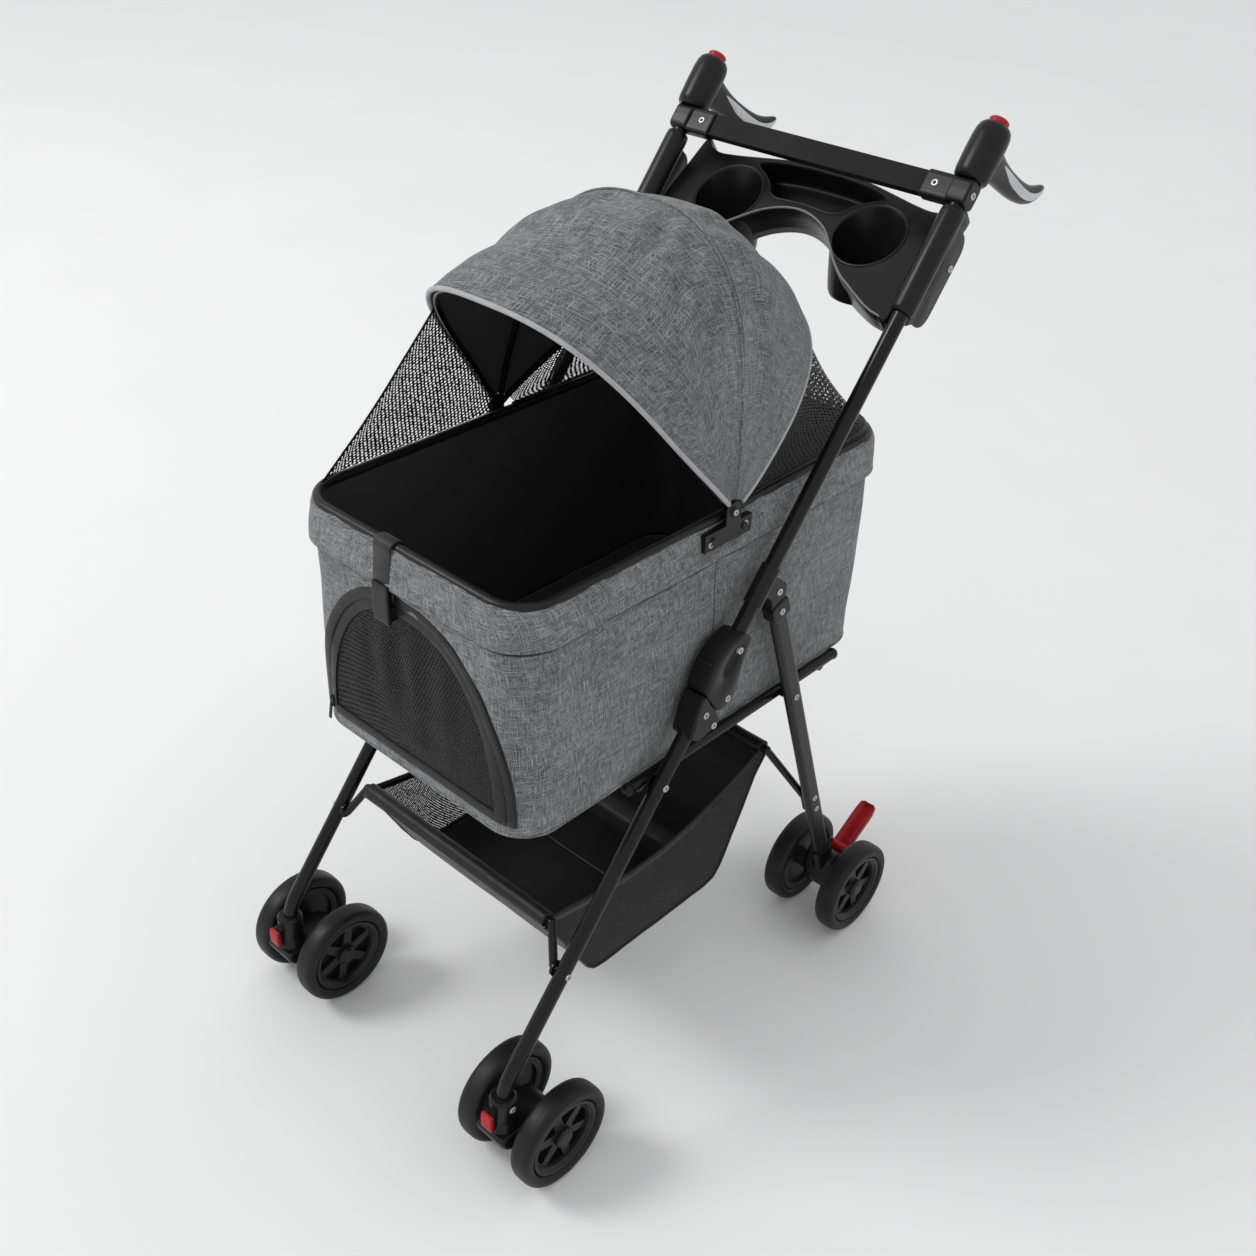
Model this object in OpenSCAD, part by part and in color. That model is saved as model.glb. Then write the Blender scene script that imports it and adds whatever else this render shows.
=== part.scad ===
// Folding pet stroller: a fabric cabin on a folding two-lever frame, with a canopy, a parent tray and castors.
// The front faces -Y, the floor is Z = 0 and the frame is symmetric about X = 0.

/* [Frame] */
// Distance from the middle to the leg and handle tubes
track_half = 188; // [180:1:200]
// Outside diameter of the leg and handle tubes
tube_d = 17; // [15:0.5:18]
// Slope of the handle and front leg above the floor, in degrees
lean = 51.3; // [49:0.1:54]
// Place along the stroller of the point where the knuckle splits
split_y = -111; // [-125:1:-100]
// Height of the point where the knuckle splits
split_z = 500; // [490:1:515]
// Height of the side rails under the cabin
rail_z = 417; // [410:1:424]
// Diameter of the side rails and cross bars
rail_d = 13; // [10:0.5:14]
// Length of the handle tube above the split
handle_len = 640; // [610:1:680]
// Width across the flat of the oval rear legs
rear_leg_w = 24; // [20:1:26]
// Thickness of the oval rear legs
rear_leg_t = 12; // [10:0.5:13]
// Inside radius of the bend at the foot of the front legs
foot_bend_r = 60; // [45:1:80]

/* [Wheels] */
// Diameter of all the wheels
wheel_d = 125; // [110:1:132]
// Width of a tyre
tyre_w = 28; // [22:1:30]
// Distance of each wheel of a pair from its leg
wheel_off = 42; // [40:1:48]
// Place of the front axles along the stroller
front_axle_y = -363; // [-380:1:-350]
// Distance from the castor stem to its axle
trail = 42; // [38:1:48]
// Place of the rear axles along the stroller
rear_axle_y = 177; // [165:1:200]
// Diameter of the axles
axle_d = 8; // [6:0.5:10]

/* [Cabin] */
// Distance from the middle to the side walls
cabin_half_w = 163; // [150:1:163]
// Place of the front wall along the stroller
cabin_front_y = -350; // [-380:1:-340]
// Place of the rear wall along the stroller
cabin_rear_y = 210; // [190:1:225]
// Height of the cabin's underside
cabin_z = 416; // [410:1:424]
// Height of the top edge of the walls
rim_z = 688; // [670:1:700]
// Corner radius of the cabin
corner_r = 45; // [35:1:60]
// Thickness of the fabric walls
wall_t = 5; // [4:0.5:7]
// Diameter of the rim rod
rim_d = 9; // [7:0.5:10]
// Thickness of the floor mat
mat_t = 14; // [8:1:20]
// Half of the door's width
door_half_w = 138; // [120:1:140]
// Height of the door above its base
door_h = 193; // [160:1:205]

/* [Canopy] */
// Place of the canopy pivot along the stroller
canopy_pivot_y = -70; // [-85:1:-55]
// Reach of the front bow from the pivot
front_bow_r = 252; // [235:1:262]
// Reach of the middle bow from the pivot
mid_bow_r = 260; // [245:1:275]
// Reach of the rear bow from the pivot
rear_bow_r = 268; // [255:1:280]
// Angle of the open front bow
front_bow_a = 126.5; // [118:0.5:132]
// Angle of the open middle bow
mid_bow_a = 80; // [75:0.5:88]
// Angle of the rear bow
rear_bow_a = 31; // [26:0.5:36]

/* [Tray] */
// Place of the tray's rear edge along the stroller
tray_y = 267; // [260:1:272]
// Height of the tray's rear edge
tray_z = 918; // [912:1:924]
// Forward slope of the tray in degrees
tray_a = 35; // [30:0.5:40]
// Distance of each cup from the middle
cup_x = 97.5; // [92:0.5:102]
// Radius of a cup's mouth
cup_r = 40; // [34:0.5:41]
// Height of the cup bottoms
cup_z = 800; // [790:1:815]

/* [Basket] */
// Half of the storage basket's width
basket_half_w = 150; // [130:1:155]
// Height of the basket's floor
basket_z = 152; // [140:1:170]

/* [Fit] */
// Gap between pieces that pass each other
gap = 0.3; // [0.3:0.05:0.4]
// Gap between a shaft and its bore
shaft_gap = 0.15; // [0.1:0.05:0.2]

/* [Hidden] */
$fn = 64;

black = [0.06, 0.06, 0.065];
satin = [0.10, 0.10, 0.105];
grey = [0.50, 0.50, 0.51];
light = [0.80, 0.80, 0.80];
red = [0.62, 0.08, 0.10];
silver = [0.75, 0.75, 0.76];

tube_r = tube_d / 2;
rail_r = rail_d / 2;
wheel_r = wheel_d / 2;
axle_r = axle_d / 2;
half_gap = gap / 2;
turn = 90 - lean;

// Place on the handle line: s up along the tube, n out of its front side, as [y, z]
function line_pt(s, n) =
  [split_y + s * cos(lean) - n * sin(lean), split_z + s * sin(lean) + n * cos(lean)];

// Knuckle pivot, behind the tube
knuckle_s = 6;
knuckle_n = -20;
knuckle_pt = line_pt(knuckle_s, knuckle_n);
pin_r = 3;
head_r = 7;
head_t = 2;

// Pivot of the rear leg on the handle
sleeve_s = 130;
sleeve_n = -23.2;
rear_top = line_pt(sleeve_s, sleeve_n);
rear_dy = rear_axle_y - rear_top[0];
rear_dz = rear_top[1] - wheel_r;
rear_len = norm([rear_dy, rear_dz]);
rear_lean = atan2(rear_dy, rear_dz);
function rear_y(z) = rear_axle_y - (z - wheel_r) * rear_dy / rear_dz;

// Leg pivots on the side rails
front_pivot = [split_y + (rail_z - split_z) * cos(lean) / sin(lean), rail_z];
rear_pivot = [rear_y(rail_z), rail_z];
rail_x = cabin_half_w + 0.7 + rail_r;
rail_y0 = front_pivot[0] - 29;
rail_y1 = rear_pivot[0] + 100;

// Castor stem
stem_y = front_axle_y - trail;
stem_r = 5;
fork_top = wheel_r + 21;
socket_z = fork_top + gap;
socket_top = socket_z + 42;
bend_s = (stem_y - split_y) / cos(lean);
bend_z = split_z + bend_s * sin(lean);
bend_t = foot_bend_r * tan(turn / 2);
foot_z = min(bend_z - bend_t, socket_top - 12);

// Grips and hooks
grip_s = handle_len - 47;
grip_r = 19;
bar_s = handle_len - 63;

// Stations along the hook: behind, up from the grip's foot, half height, half width
horn = [[4, 34, 22, 15], [20, 36, 22.5, 15], [38, 39.5, 22, 15], [56, 42, 18.5, 14.8], [76, 44.5, 14.5, 14.4],
  [96, 47.5, 11.5, 13.8], [116, 51, 9.8, 13], [132, 55.5, 8.6, 12], [143, 61, 7.2, 10.4], [149, 66.5, 5, 7.6],
  [151.5, 69.5, 2.4, 4]];
function horn_ring(i) =
  let(a = horn[max(i - 1, 0)], b = horn[min(i + 1, len(horn) - 1)], d = unit([b[0] - a[0], b[1] - a[1]]), h = horn[i])
  [for (v = ring([0, 0], 1, 28)) let(q = h[2] * sup(v[1], 2.5))
    [-h[3] * sup(v[0], 2.5), h[0] - d[1] * q, grip_s + h[1] + d[0] * q]];

// The whole is moved so that the middle of its length is at Y = 0
lock_front = stem_y - 19 - gap - 6.6;
hook_back = max([for (i = [0:len(horn) - 1]) for (v = horn_ring(i)) line_pt(v[2], -v[1])[0]]);
shift_y = -(lock_front + hook_back) / 2;

module place() translate([0, shift_y, 0]) children();
module both() { children(); mirror([1, 0, 0]) children(); }
module left() mirror([1, 0, 0]) children();

// Frame of the handle line: local z is up the tube, local y is behind it
module on_line(x) translate([x, split_y, split_z]) rotate([-turn, 0, 0]) children();
// Frame of the rear leg: local z runs from the axle to the upper pivot
module on_rear(x) translate([x, rear_axle_y, wheel_r]) rotate([rear_lean, 0, 0]) children();
// Cylinder along X
module rod_x(r, x0, x1, p = [0, 0]) translate([x0, p[0], p[1]]) rotate([0, 90, 0]) cylinder(r = r, h = x1 - x0);
// Tube between two points
module rod(a, b, r) {
  d = b - a;
  translate(a) rotate([0, atan2(norm([d[0], d[1]]), d[2]), atan2(d[1], d[0])]) cylinder(r = r, h = norm(d));
}
// Domed rivet head on a face at x, pointing out of the frame when dir is 1
module rivet_head(x, p, dir = 1, r = head_r)
  translate([x, p[0], p[1]]) rotate([0, 90 * dir, 0]) {
    cylinder(r = r, h = head_t * 0.5);
    translate([0, 0, head_t * 0.5]) cylinder(r1 = r, r2 = r * 0.72, h = head_t * 0.5);
  }

function unit(v) = v / norm(v);
function flat(a) = [for (row = a) each row];
function cr(a, b, c, d, t) =
  0.5 * (2 * b + (c - a) * t + (2 * a - 5 * b + 4 * c - d) * t * t + (3 * b - a - 3 * c + d) * t * t * t);
// Smooth closed loop through a few points
function smooth(p, k = 4) = let(n = len(p)) [for (i = [0:n - 1]) for (j = [0:k - 1])
  cr(p[(i + n - 1) % n], p[i], p[(i + 1) % n], p[(i + 2) % n], j / k)];
// Outward normals of a loop that runs anticlockwise
function normals(p) = let(n = len(p)) [for (i = [0:n - 1])
  let(d = unit(p[(i + 1) % n] - p[(i + n - 1) % n])) [d[1], -d[0]]];
function area(p) = let(n = len(p))
  [for (i = 0, a = 0; i <= n; a = a + (i < n ? p[i][0] * p[(i + 1) % n][1] - p[(i + 1) % n][0] * p[i][1] : 0), i = i + 1) a][n];
function ccw(p) = area(p) < 0 ? [for (i = [len(p) - 1:-1:0]) p[i]] : p;
function inset(p, d) = let(m = normals(p)) [for (i = [0:len(p) - 1]) p[i] - d * m[i]];
function sup(v, e) = sign(v) * pow(abs(v), 2 / e);
function ring(c, r, n = 40) = [for (i = [0:n - 1]) c + r * [cos(360 * i / n), sin(360 * i / n)]];

// Solid through a list of closed rings
module skin(rings) {
  k = len(rings);
  m = len(rings[0]);
  sides = [for (i = [0:k - 2]) for (j = [0:m - 1]) let(q = (j + 1) % m)
    each [[i * m + j, (i + 1) * m + j, (i + 1) * m + q], [i * m + j, (i + 1) * m + q, i * m + q]]];
  caps = [[for (j = [0:m - 1]) j], [for (j = [m - 1:-1:0]) (k - 1) * m + j]];
  polyhedron(points = flat(rings), faces = concat(sides, caps), convexity = 8);
}
// Plate with rounded edges: outline in [y, z], from x0 to x1
module slab(pts, x0, x1, r, k = 3) {
  p = ccw(pts);
  skin(concat(
    [for (j = [0:k]) let(a = 90 * j / k, q = inset(p, r * (1 - sin(a))))
      [for (v = q) [x0 + r * (1 - cos(a)), v[0], v[1]]]],
    [for (j = [k:-1:0]) let(a = 90 * j / k, q = inset(p, r * (1 - sin(a))))
      [for (v = q) [x1 - r * (1 - cos(a)), v[0], v[1]]]]));
}
// The same plate with its outline in [x, y] and its thickness along z
module slab_z(pts, z0, z1, r, k = 3) {
  p = ccw(pts);
  skin(concat(
    [for (j = [0:k]) let(a = 90 * j / k, q = inset(p, r * (1 - sin(a))))
      [for (v = q) [v[0], v[1], z0 + r * (1 - cos(a))]]],
    [for (j = [k:-1:0]) let(a = 90 * j / k, q = inset(p, r * (1 - sin(a))))
      [for (v = q) [v[0], v[1], z1 - r * (1 - cos(a))]]]));
}
// Thin solid between an outer grid and an inner grid of points
module sheet(a, b) {
  ni = len(a);
  nj = len(a[0]);
  o = ni * nj;
  quads = [for (i = [0:ni - 2]) for (j = [0:nj - 2]) [i * nj + j, i * nj + j + 1, (i + 1) * nj + j + 1, (i + 1) * nj + j]];
  rim_pts = concat([for (j = [0:nj - 1]) j], [for (i = [1:ni - 1]) i * nj + nj - 1],
    [for (j = [nj - 2:-1:0]) (ni - 1) * nj + j], [for (i = [ni - 2:-1:1]) i * nj]);
  top = [for (q = quads) each [[q[2], q[1], q[0]], [q[3], q[2], q[0]]]];
  bottom = [for (q = quads) each [[q[0] + o, q[1] + o, q[2] + o], [q[0] + o, q[2] + o, q[3] + o]]];
  edge = [for (i = [0:len(rim_pts) - 1]) let(p = rim_pts[i], q = rim_pts[(i + 1) % len(rim_pts)])
    each [[p, q, p + o], [q, q + o, p + o]]];
  polyhedron(points = concat(flat(a), flat(b)), faces = concat(top, bottom, edge), convexity = 8);
}
// Upright block with round corners
module round_block(hx, y0, y1, r, z0, z1) {
  translate([-hx + r, y0, z0]) cube([2 * hx - 2 * r, y1 - y0, z1 - z0]);
  translate([-hx, y0 + r, z0]) cube([2 * hx, y1 - y0 - 2 * r, z1 - z0]);
  for (x = [-hx + r, hx - r]) for (y = [y0 + r, y1 - r]) translate([x, y, z0]) cylinder(r = r, h = z1 - z0);
}
// Rod around the same outline
module round_loop(hx, y0, y1, r, d, z) {
  for (x = [-hx, hx]) translate([x, y0 + r, z]) rotate([-90, 0, 0]) cylinder(r = d / 2, h = y1 - y0 - 2 * r);
  for (y = [y0, y1]) translate([-hx + r, y, z]) rotate([0, 90, 0]) cylinder(r = d / 2, h = 2 * hx - 2 * r);
  for (q = [[hx - r, y1 - r, 0], [-hx + r, y1 - r, 90], [-hx + r, y0 + r, 180], [hx - r, y0 + r, 270]])
    translate([q[0], q[1], z]) rotate([0, 0, q[2]]) rotate_extrude(angle = 90) translate([r, 0]) circle(r = d / 2);
}
// Oval bar section, long side along Y
module oval(w, t) {
  square([t, w - t], center = true);
  for (e = [-1, 1]) translate([0, e * (w - t) / 2]) circle(d = t);
}

// ---- Side rails, cross bars and the four leg pivots ----
boss_x = track_half - tube_r - gap;
cross_z = cabin_z - gap - rail_r;
module base_frame() color(satin) place() difference() {
  union() {
    both() {
      translate([rail_x, rail_y0, rail_z]) rotate([-90, 0, 0]) cylinder(r = rail_r, h = rail_y1 - rail_y0);
      for (y = [rail_y0, rail_y1]) translate([rail_x, y, rail_z]) sphere(r = rail_r + 0.8);
      rod_x(rail_r + 1, rail_x, boss_x, front_pivot);
      rod_x(rail_r + 1, rail_x, track_half - rear_leg_t / 2 - gap, rear_pivot);
    }
    for (y = [rail_y0 + 20, rail_y1 - 20]) rod_x(rail_r, -rail_x, rail_x, [y, cross_z]);
  }
  both() for (p = [front_pivot, rear_pivot]) rod_x(pin_r, rail_x, track_half, p);
  translate([-cabin_half_w - 0.4, cabin_front_y, cabin_z - gap])
    cube([2 * cabin_half_w + 0.8, cabin_rear_y - cabin_front_y, 60]);
}
module frame_rivets() color(silver) place() both() {
  rod_x(pin_r - 0.05, rail_x + 0.2, track_half + tube_r + gap + 0.2, front_pivot);
  rivet_head(track_half + tube_r + gap, front_pivot);
  rod_x(pin_r - 0.05, rail_x + 0.2, track_half + rear_leg_t / 2 + gap + 0.2, rear_pivot);
  rivet_head(track_half + rear_leg_t / 2 + gap, rear_pivot);
}

// ---- Cabin ----
floor_top = cabin_z + wall_t;
wall_top = rim_z - rim_d / 2 - gap;
door_z = cabin_z + 19;
door_e = 2.2;
function door_pts(d) = concat(
  [for (i = [0:48]) let(t = 180 * i / 48)
    [(door_half_w - d) * sup(cos(t), door_e), door_z + (door_h - d) * sup(sin(t), door_e) + d * 0]]);
module door_shape(d, y0, y1) translate([0, y1, 0]) rotate([90, 0, 0]) linear_extrude(y1 - y0) polygon(door_pts(d));
module cabin_shell() color(grey) place() difference() {
  round_block(cabin_half_w, cabin_front_y, cabin_rear_y, corner_r, cabin_z, wall_top);
  round_block(cabin_half_w - wall_t, cabin_front_y + wall_t, cabin_rear_y - wall_t, corner_r - wall_t,
    floor_top, wall_top + 10);
  door_shape(0, cabin_front_y - 1, cabin_front_y + wall_t + 1);
}
module floor_mat() color(satin) place()
  round_block(cabin_half_w - wall_t - 2 * gap, cabin_front_y + wall_t + 2 * gap, cabin_rear_y - wall_t - 2 * gap,
    corner_r - wall_t - 2 * gap, floor_top + gap, min(floor_top + gap + mat_t, door_z + 1));
module rim_frame() color(black) place()
  round_loop(cabin_half_w - wall_t / 2, cabin_front_y + wall_t / 2, cabin_rear_y - wall_t / 2,
    corner_r - wall_t / 2, rim_d, rim_z);
module door_panel() color(grey) place() intersection() {
  door_shape(2 * gap, cabin_front_y, cabin_front_y + wall_t);
  translate([-door_half_w, cabin_front_y - 1, door_z + 2 * gap]) cube([2 * door_half_w, wall_t + 2, door_h]);
}
strap_x = -21;
strap_w = 20;
strap_t = 1.5;
loop_r = rim_d / 2 + gap;
clasp_z = door_z + door_h + 6;
module buckle_socket() color(black) place() {
  // strap hangs from the rim
  translate([strap_x - strap_w / 2, cabin_front_y + wall_t / 2, 0]) {
    translate([0, -loop_r - strap_t, clasp_z]) cube([strap_w, strap_t, rim_z - clasp_z]);
    translate([0, loop_r, rim_z - 34]) cube([strap_w, strap_t, 34]);
    translate([0, 0, rim_z]) rotate([0, 90, 0]) difference() {
      cylinder(r = loop_r + strap_t, h = strap_w);
      translate([0, 0, -1]) cylinder(r = loop_r, h = strap_w + 2);
      translate([0, -20, -1]) cube([40, 40, strap_w + 2]);
    }
  }
  slab([for (v = ring([0, 0], 1, 24)) [cabin_front_y - 4.4 + 3.6 * sup(v[0], 6), clasp_z + 10 + 12 * sup(v[1], 5)]],
    strap_x - 14, strap_x + 14, 2);
}
plug_y = cabin_front_y - 8 - gap;
module buckle_plug() color(black) place() {
  slab([for (v = ring([0, 0], 1, 24)) [plug_y - 2.6 + 2.6 * sup(v[0], 6), clasp_z - 6 + 22 * sup(v[1], 5)]],
    strap_x - 12, strap_x + 12, 2);
  translate([strap_x - 9, plug_y - 1, clasp_z - 26]) cube([18, cabin_front_y - gap - plug_y + 1, 15]);
}

// ---- Canopy ----
bow_t = 1.5;
bow_w = 6;
bow_e = 2.35;
layer = bow_t + 0.5;
bow_x0 = cabin_half_w + 2.6;
lug_x = bow_x0 + 3 * layer - 0.1;
canopy_pivot = [canopy_pivot_y, rim_z + 7];
canopy_t = 2.5;
tuck = 6;
eye_r = 7;
bow_start = 3;
hinge_pin_r = 2.5;
function arch_xr(t, r, a) = let(q = r * sup(sin(t), bow_e))
  [(a - tuck * (1 - exp(-q * q / 3600))) * sup(cos(t), bow_e), q];
function arch_t(q, r) = asin(pow(q / r, bow_e / 2));
function polar(x, q, phi) = [x, canopy_pivot[0] + q * cos(phi), canopy_pivot[1] + q * sin(phi)];
function bow_ring(t, phi, r, a) =
  let(p = arch_xr(t, r, a), d = unit(arch_xr(t + 0.05, r, a) - arch_xr(t - 0.05, r, a)), m = [d[1], -d[0]])
  [for (c = [[-bow_t, -0.5], [0, -0.5], [0, 0.5], [-bow_t, 0.5]])
    let(x = p[0] + c[0] * m[0], q = p[1] + c[0] * m[1])
    polar(x, q, phi) - c[1] * bow_w * [0, -sin(phi), cos(phi)]];
module bow(phi, r, x0) {
  a = x0 + bow_t;
  t0 = arch_t(bow_start, r);
  difference() {
    union() {
      skin([for (i = [0:40]) bow_ring(t0 + (180 - 2 * t0) * i / 40, phi, r, a)]);
      both() rod_x(eye_r, x0, x0 + bow_t, canopy_pivot);
    }
    both() rod_x(hinge_pin_r + shaft_gap, x0 - 5, x0 + bow_t + 5, canopy_pivot);
  }
}
module canopy_rear_bow() color(black) place() bow(rear_bow_a, rear_bow_r - canopy_t, bow_x0);
module canopy_mid_bow() color(black) place() bow(mid_bow_a, mid_bow_r - canopy_t, bow_x0 + layer);
module canopy_front_bow() color(black) place() bow(front_bow_a, front_bow_r - canopy_t, bow_x0 + 2 * layer);
// Fabric reach at an angle, through the three bows
function fabric_r(phi) =
  let(a = rear_bow_a, b = mid_bow_a, c = front_bow_a)
  rear_bow_r * (phi - b) * (phi - c) / ((a - b) * (a - c)) +
  mid_bow_r * (phi - a) * (phi - c) / ((b - a) * (b - c)) +
  front_bow_r * (phi - a) * (phi - b) / ((c - a) * (c - b));
fabric_a = bow_x0 + 2 * layer + bow_t + 0.5 + 2;
fabric_start = 26;
function fabric_pt(phi, u, d) =
  let(r = fabric_r(phi) - d, t0 = arch_t(fabric_start, r), p = arch_xr(t0 + (180 - 2 * t0) * u, r, fabric_a - d))
  polar(p[0], p[1], phi);
module canopy_fabric() color(grey) place() {
  ni = 16;
  nj = 44;
  f = function(d) [for (i = [0:ni]) [for (j = [0:nj])
    fabric_pt(rear_bow_a - 1 + (front_bow_a - rear_bow_a + 2) * i / ni, j / nj, d)]];
  sheet(f(0), f(2));
}
hinge_y0 = canopy_pivot_y - 42;
hinge_y1 = canopy_pivot_y + 30;
hinge_top = rim_z - rim_d / 2 - gap;
module canopy_hinge_plates() color(satin) place() both() {
  difference() {
    union() {
      translate([cabin_half_w + gap, hinge_y0, hinge_top - 20])
        cube([lug_x + 2 - cabin_half_w - gap, hinge_y1 - hinge_y0, 20 - gap]);
      translate([lug_x, canopy_pivot_y - 11, hinge_top - 5]) cube([2, 22, canopy_pivot[1] - hinge_top + 5]);
      rod_x(11, lug_x, lug_x + 2, canopy_pivot);
    }
  }
  rod_x(hinge_pin_r, bow_x0 - gap, lug_x + 1, canopy_pivot);
  rivet_head(lug_x + 2, canopy_pivot, 1, 6);
  for (y = [hinge_y0 + 12, hinge_y1 - 12]) rivet_head(lug_x + 2, [y, hinge_top - 10], 1, 4.5);
}
mesh_t = 1.2;
// Rear rim path from the right hinge round to the left one
function rear_rim(u) =
  let(hx = cabin_half_w - wall_t / 2, y1 = cabin_rear_y - wall_t / 2, r = corner_r - wall_t / 2,
    a = canopy_pivot_y + 40, l1 = y1 - r - a, l2 = r * PI / 2, l3 = hx - r, total = l1 + l2 + l3,
    v = (u < 0.5 ? u : 1 - u) * 2 * total, e = u < 0.5 ? 1 : -1)
  v < l1 ? [e * hx, a + v] :
  v < l1 + l2 ? let(t = (v - l1) / l2 * 90) [e * (hx - r + r * cos(t)), y1 - r + r * sin(t)] :
  [e * (hx - r - (v - l1 - l2)), y1];
module mesh_covers() color(satin) place() {
  nj = 36;
  ni = 5;
  r = rear_bow_r - canopy_t - 6;
  t0 = arch_t(60, r);
  tent = function(d) [for (i = [0:ni]) [for (j = [0:nj]) let(u = j / nj, w = i / ni,
    p = arch_xr(t0 + (180 - 2 * t0) * u, r - d, bow_x0 - 3 - d), a = polar(p[0], p[1], rear_bow_a - 3.4),
    q = rear_rim(u), b = [q[0] * (1 - d / 160), q[1] - d, rim_z + rim_d / 2 + gap + (mesh_t - d) * 0.2])
    a * w + b * (1 - w)]];
  sheet(tent(0), tent(mesh_t));
  // side panel on the left, from the front bow down to the rim
  m = function(q, x) polar(-x, q, front_bow_a + 3.2);
  top_q = 205;
  c0 = m(top_q, arch_xr(arch_t(top_q, front_bow_r), front_bow_r, bow_x0)[0] - 4);
  c1 = [-cabin_half_w + 9, cabin_front_y + corner_r - 18, rim_z + rim_d / 2 + 2 * gap];
  c2 = [-cabin_half_w + wall_t / 2, canopy_pivot_y - 30, rim_z + rim_d / 2 + 2 * gap];
  h = unit(cross(c1 - c0, c2 - c0)) * mesh_t;
  skin([[c0, c1, c2], [c0 + h, c1 + h, c2 + h]]);
}

// ---- Storage basket and its two bars ----
bar_r = 5;
front_bar_s = -290;
front_bar_n = 10;
front_bar = line_pt(front_bar_s, front_bar_n);
front_end = line_pt(-330, 0);
rear_bar = [60, 312];
plate_z = [150, 173];
rear_end = [rear_y(wheel_r + 161.5 * cos(rear_lean)), wheel_r + 161.5 * cos(rear_lean)];
sleeve_t = 2;
basket_t = 3;
module basket_outline(d) polygon([
  front_bar + [-7 + d, -6], [front_bar[0] + 62 + d, basket_z + 14 + d], [front_bar[0] + 84 + d, basket_z + d],
  [rear_bar[0] - 92 - d, basket_z + d - 2], [rear_bar[0] - 68 - d, basket_z + 14 + d],
  rear_bar + [7 - d, -6], rear_bar + [7 - d, 0], front_bar + [-7 + d, 0]]);
module along_x(x0, x1) translate([x0, 0, 0]) rotate([90, 0, 90]) linear_extrude(x1 - x0) children();
module storage_basket() color(satin) place() {
  difference() {
    along_x(-basket_half_w, basket_half_w) basket_outline(0);
    difference() {
      along_x(-basket_half_w + basket_t, basket_half_w - basket_t) basket_outline(basket_t);
      for (p = [front_bar, rear_bar]) rod_x(bar_r + gap + sleeve_t, -200, 200, p);
    }
    translate([-200, front_bar[0] + 12, front_bar[1] - 8]) rotate([atan2(rear_bar[1] - front_bar[1],
      rear_bar[0] - front_bar[0]), 0, 0]) cube([400, rear_bar[0] - front_bar[0] - 24, 60]);
    for (p = [front_bar, rear_bar]) rod_x(bar_r + gap, -200, 200, p);
  }
  for (p = [front_bar, rear_bar]) difference() {
    rod_x(bar_r + gap + sleeve_t, -basket_half_w + 8, basket_half_w - 8, p);
    rod_x(bar_r + gap, -basket_half_w, basket_half_w, p);
  }
}
bar_half = basket_half_w + 4;
module bar_arm(p, q, x1) {
  a = [bar_half, p[0], p[1]];
  b = [x1, q[0], q[1]];
  rod(a, b, bar_r - 0.2);
  translate(a) sphere(r = bar_r + 0.4);
}
module front_basket_frame() color(satin) place() {
  x1 = track_half - tube_r - gap;
  rod_x(bar_r, -bar_half, bar_half, front_bar);
  both() difference() {
    union() {
      bar_arm(front_bar, front_end, x1 - 5);
      rod_x(9, x1 - 3, x1, front_end);
    }
    rod_x(pin_r, x1 - 3.5, x1 + 20, front_end);
  }
}
module rear_basket_frame() color(satin) place() {
  x1 = track_half - rear_leg_t / 2 - gap;
  rod_x(bar_r, -bar_half, bar_half, rear_bar);
  both() difference() {
    union() {
      bar_arm(rear_bar, rear_end, x1 - 5.2);
      on_rear(0) for (z = plate_z) rod_x(9, x1 - 3, x1, [0, z]);
      on_rear(0) translate([x1 - 3, -9, plate_z[0]]) cube([3, 18, plate_z[1] - plate_z[0]]);
    }
    on_rear(0) for (z = plate_z) rod_x(pin_r, x1 - 3.5, x1 + 20, [0, z]);
  }
}

// ---- Front legs ----
function leg_ring(p, a, r) = [for (v = ring([0, 0], r, 40))
  [track_half + v[0], p[0] - v[1] * cos(a), p[1] + v[1] * sin(a)]];
// One tube, straight down the handle line and bent upright above the castor
module leg_tube(r, z0) skin(concat([leg_ring(line_pt(-10, 0), turn, r)],
  [for (i = [8:-1:0]) let(a = turn * i / 8)
    leg_ring([stem_y + foot_bend_r * (1 - cos(a)), bend_z - bend_t + foot_bend_r * sin(a)], a, r)],
  [leg_ring([stem_y, z0], 0, r)]));
module front_leg_tubes() color(black) place() both() difference() {
  leg_tube(tube_r, foot_z);
  rod_x(pin_r + shaft_gap, track_half - 20, track_half + 20, front_pivot);
  rod_x(pin_r, track_half - 20, track_half + 20, front_end);
  on_line(0) rod_x(pin_r, track_half - 20, track_half + 20, [-2, -20]);
}
knuckle_t = 14;
tongue_t = 7;
round_r = 18.2;
lower_line = [[16, -9.5], [24.5, -9.5]];
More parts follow.
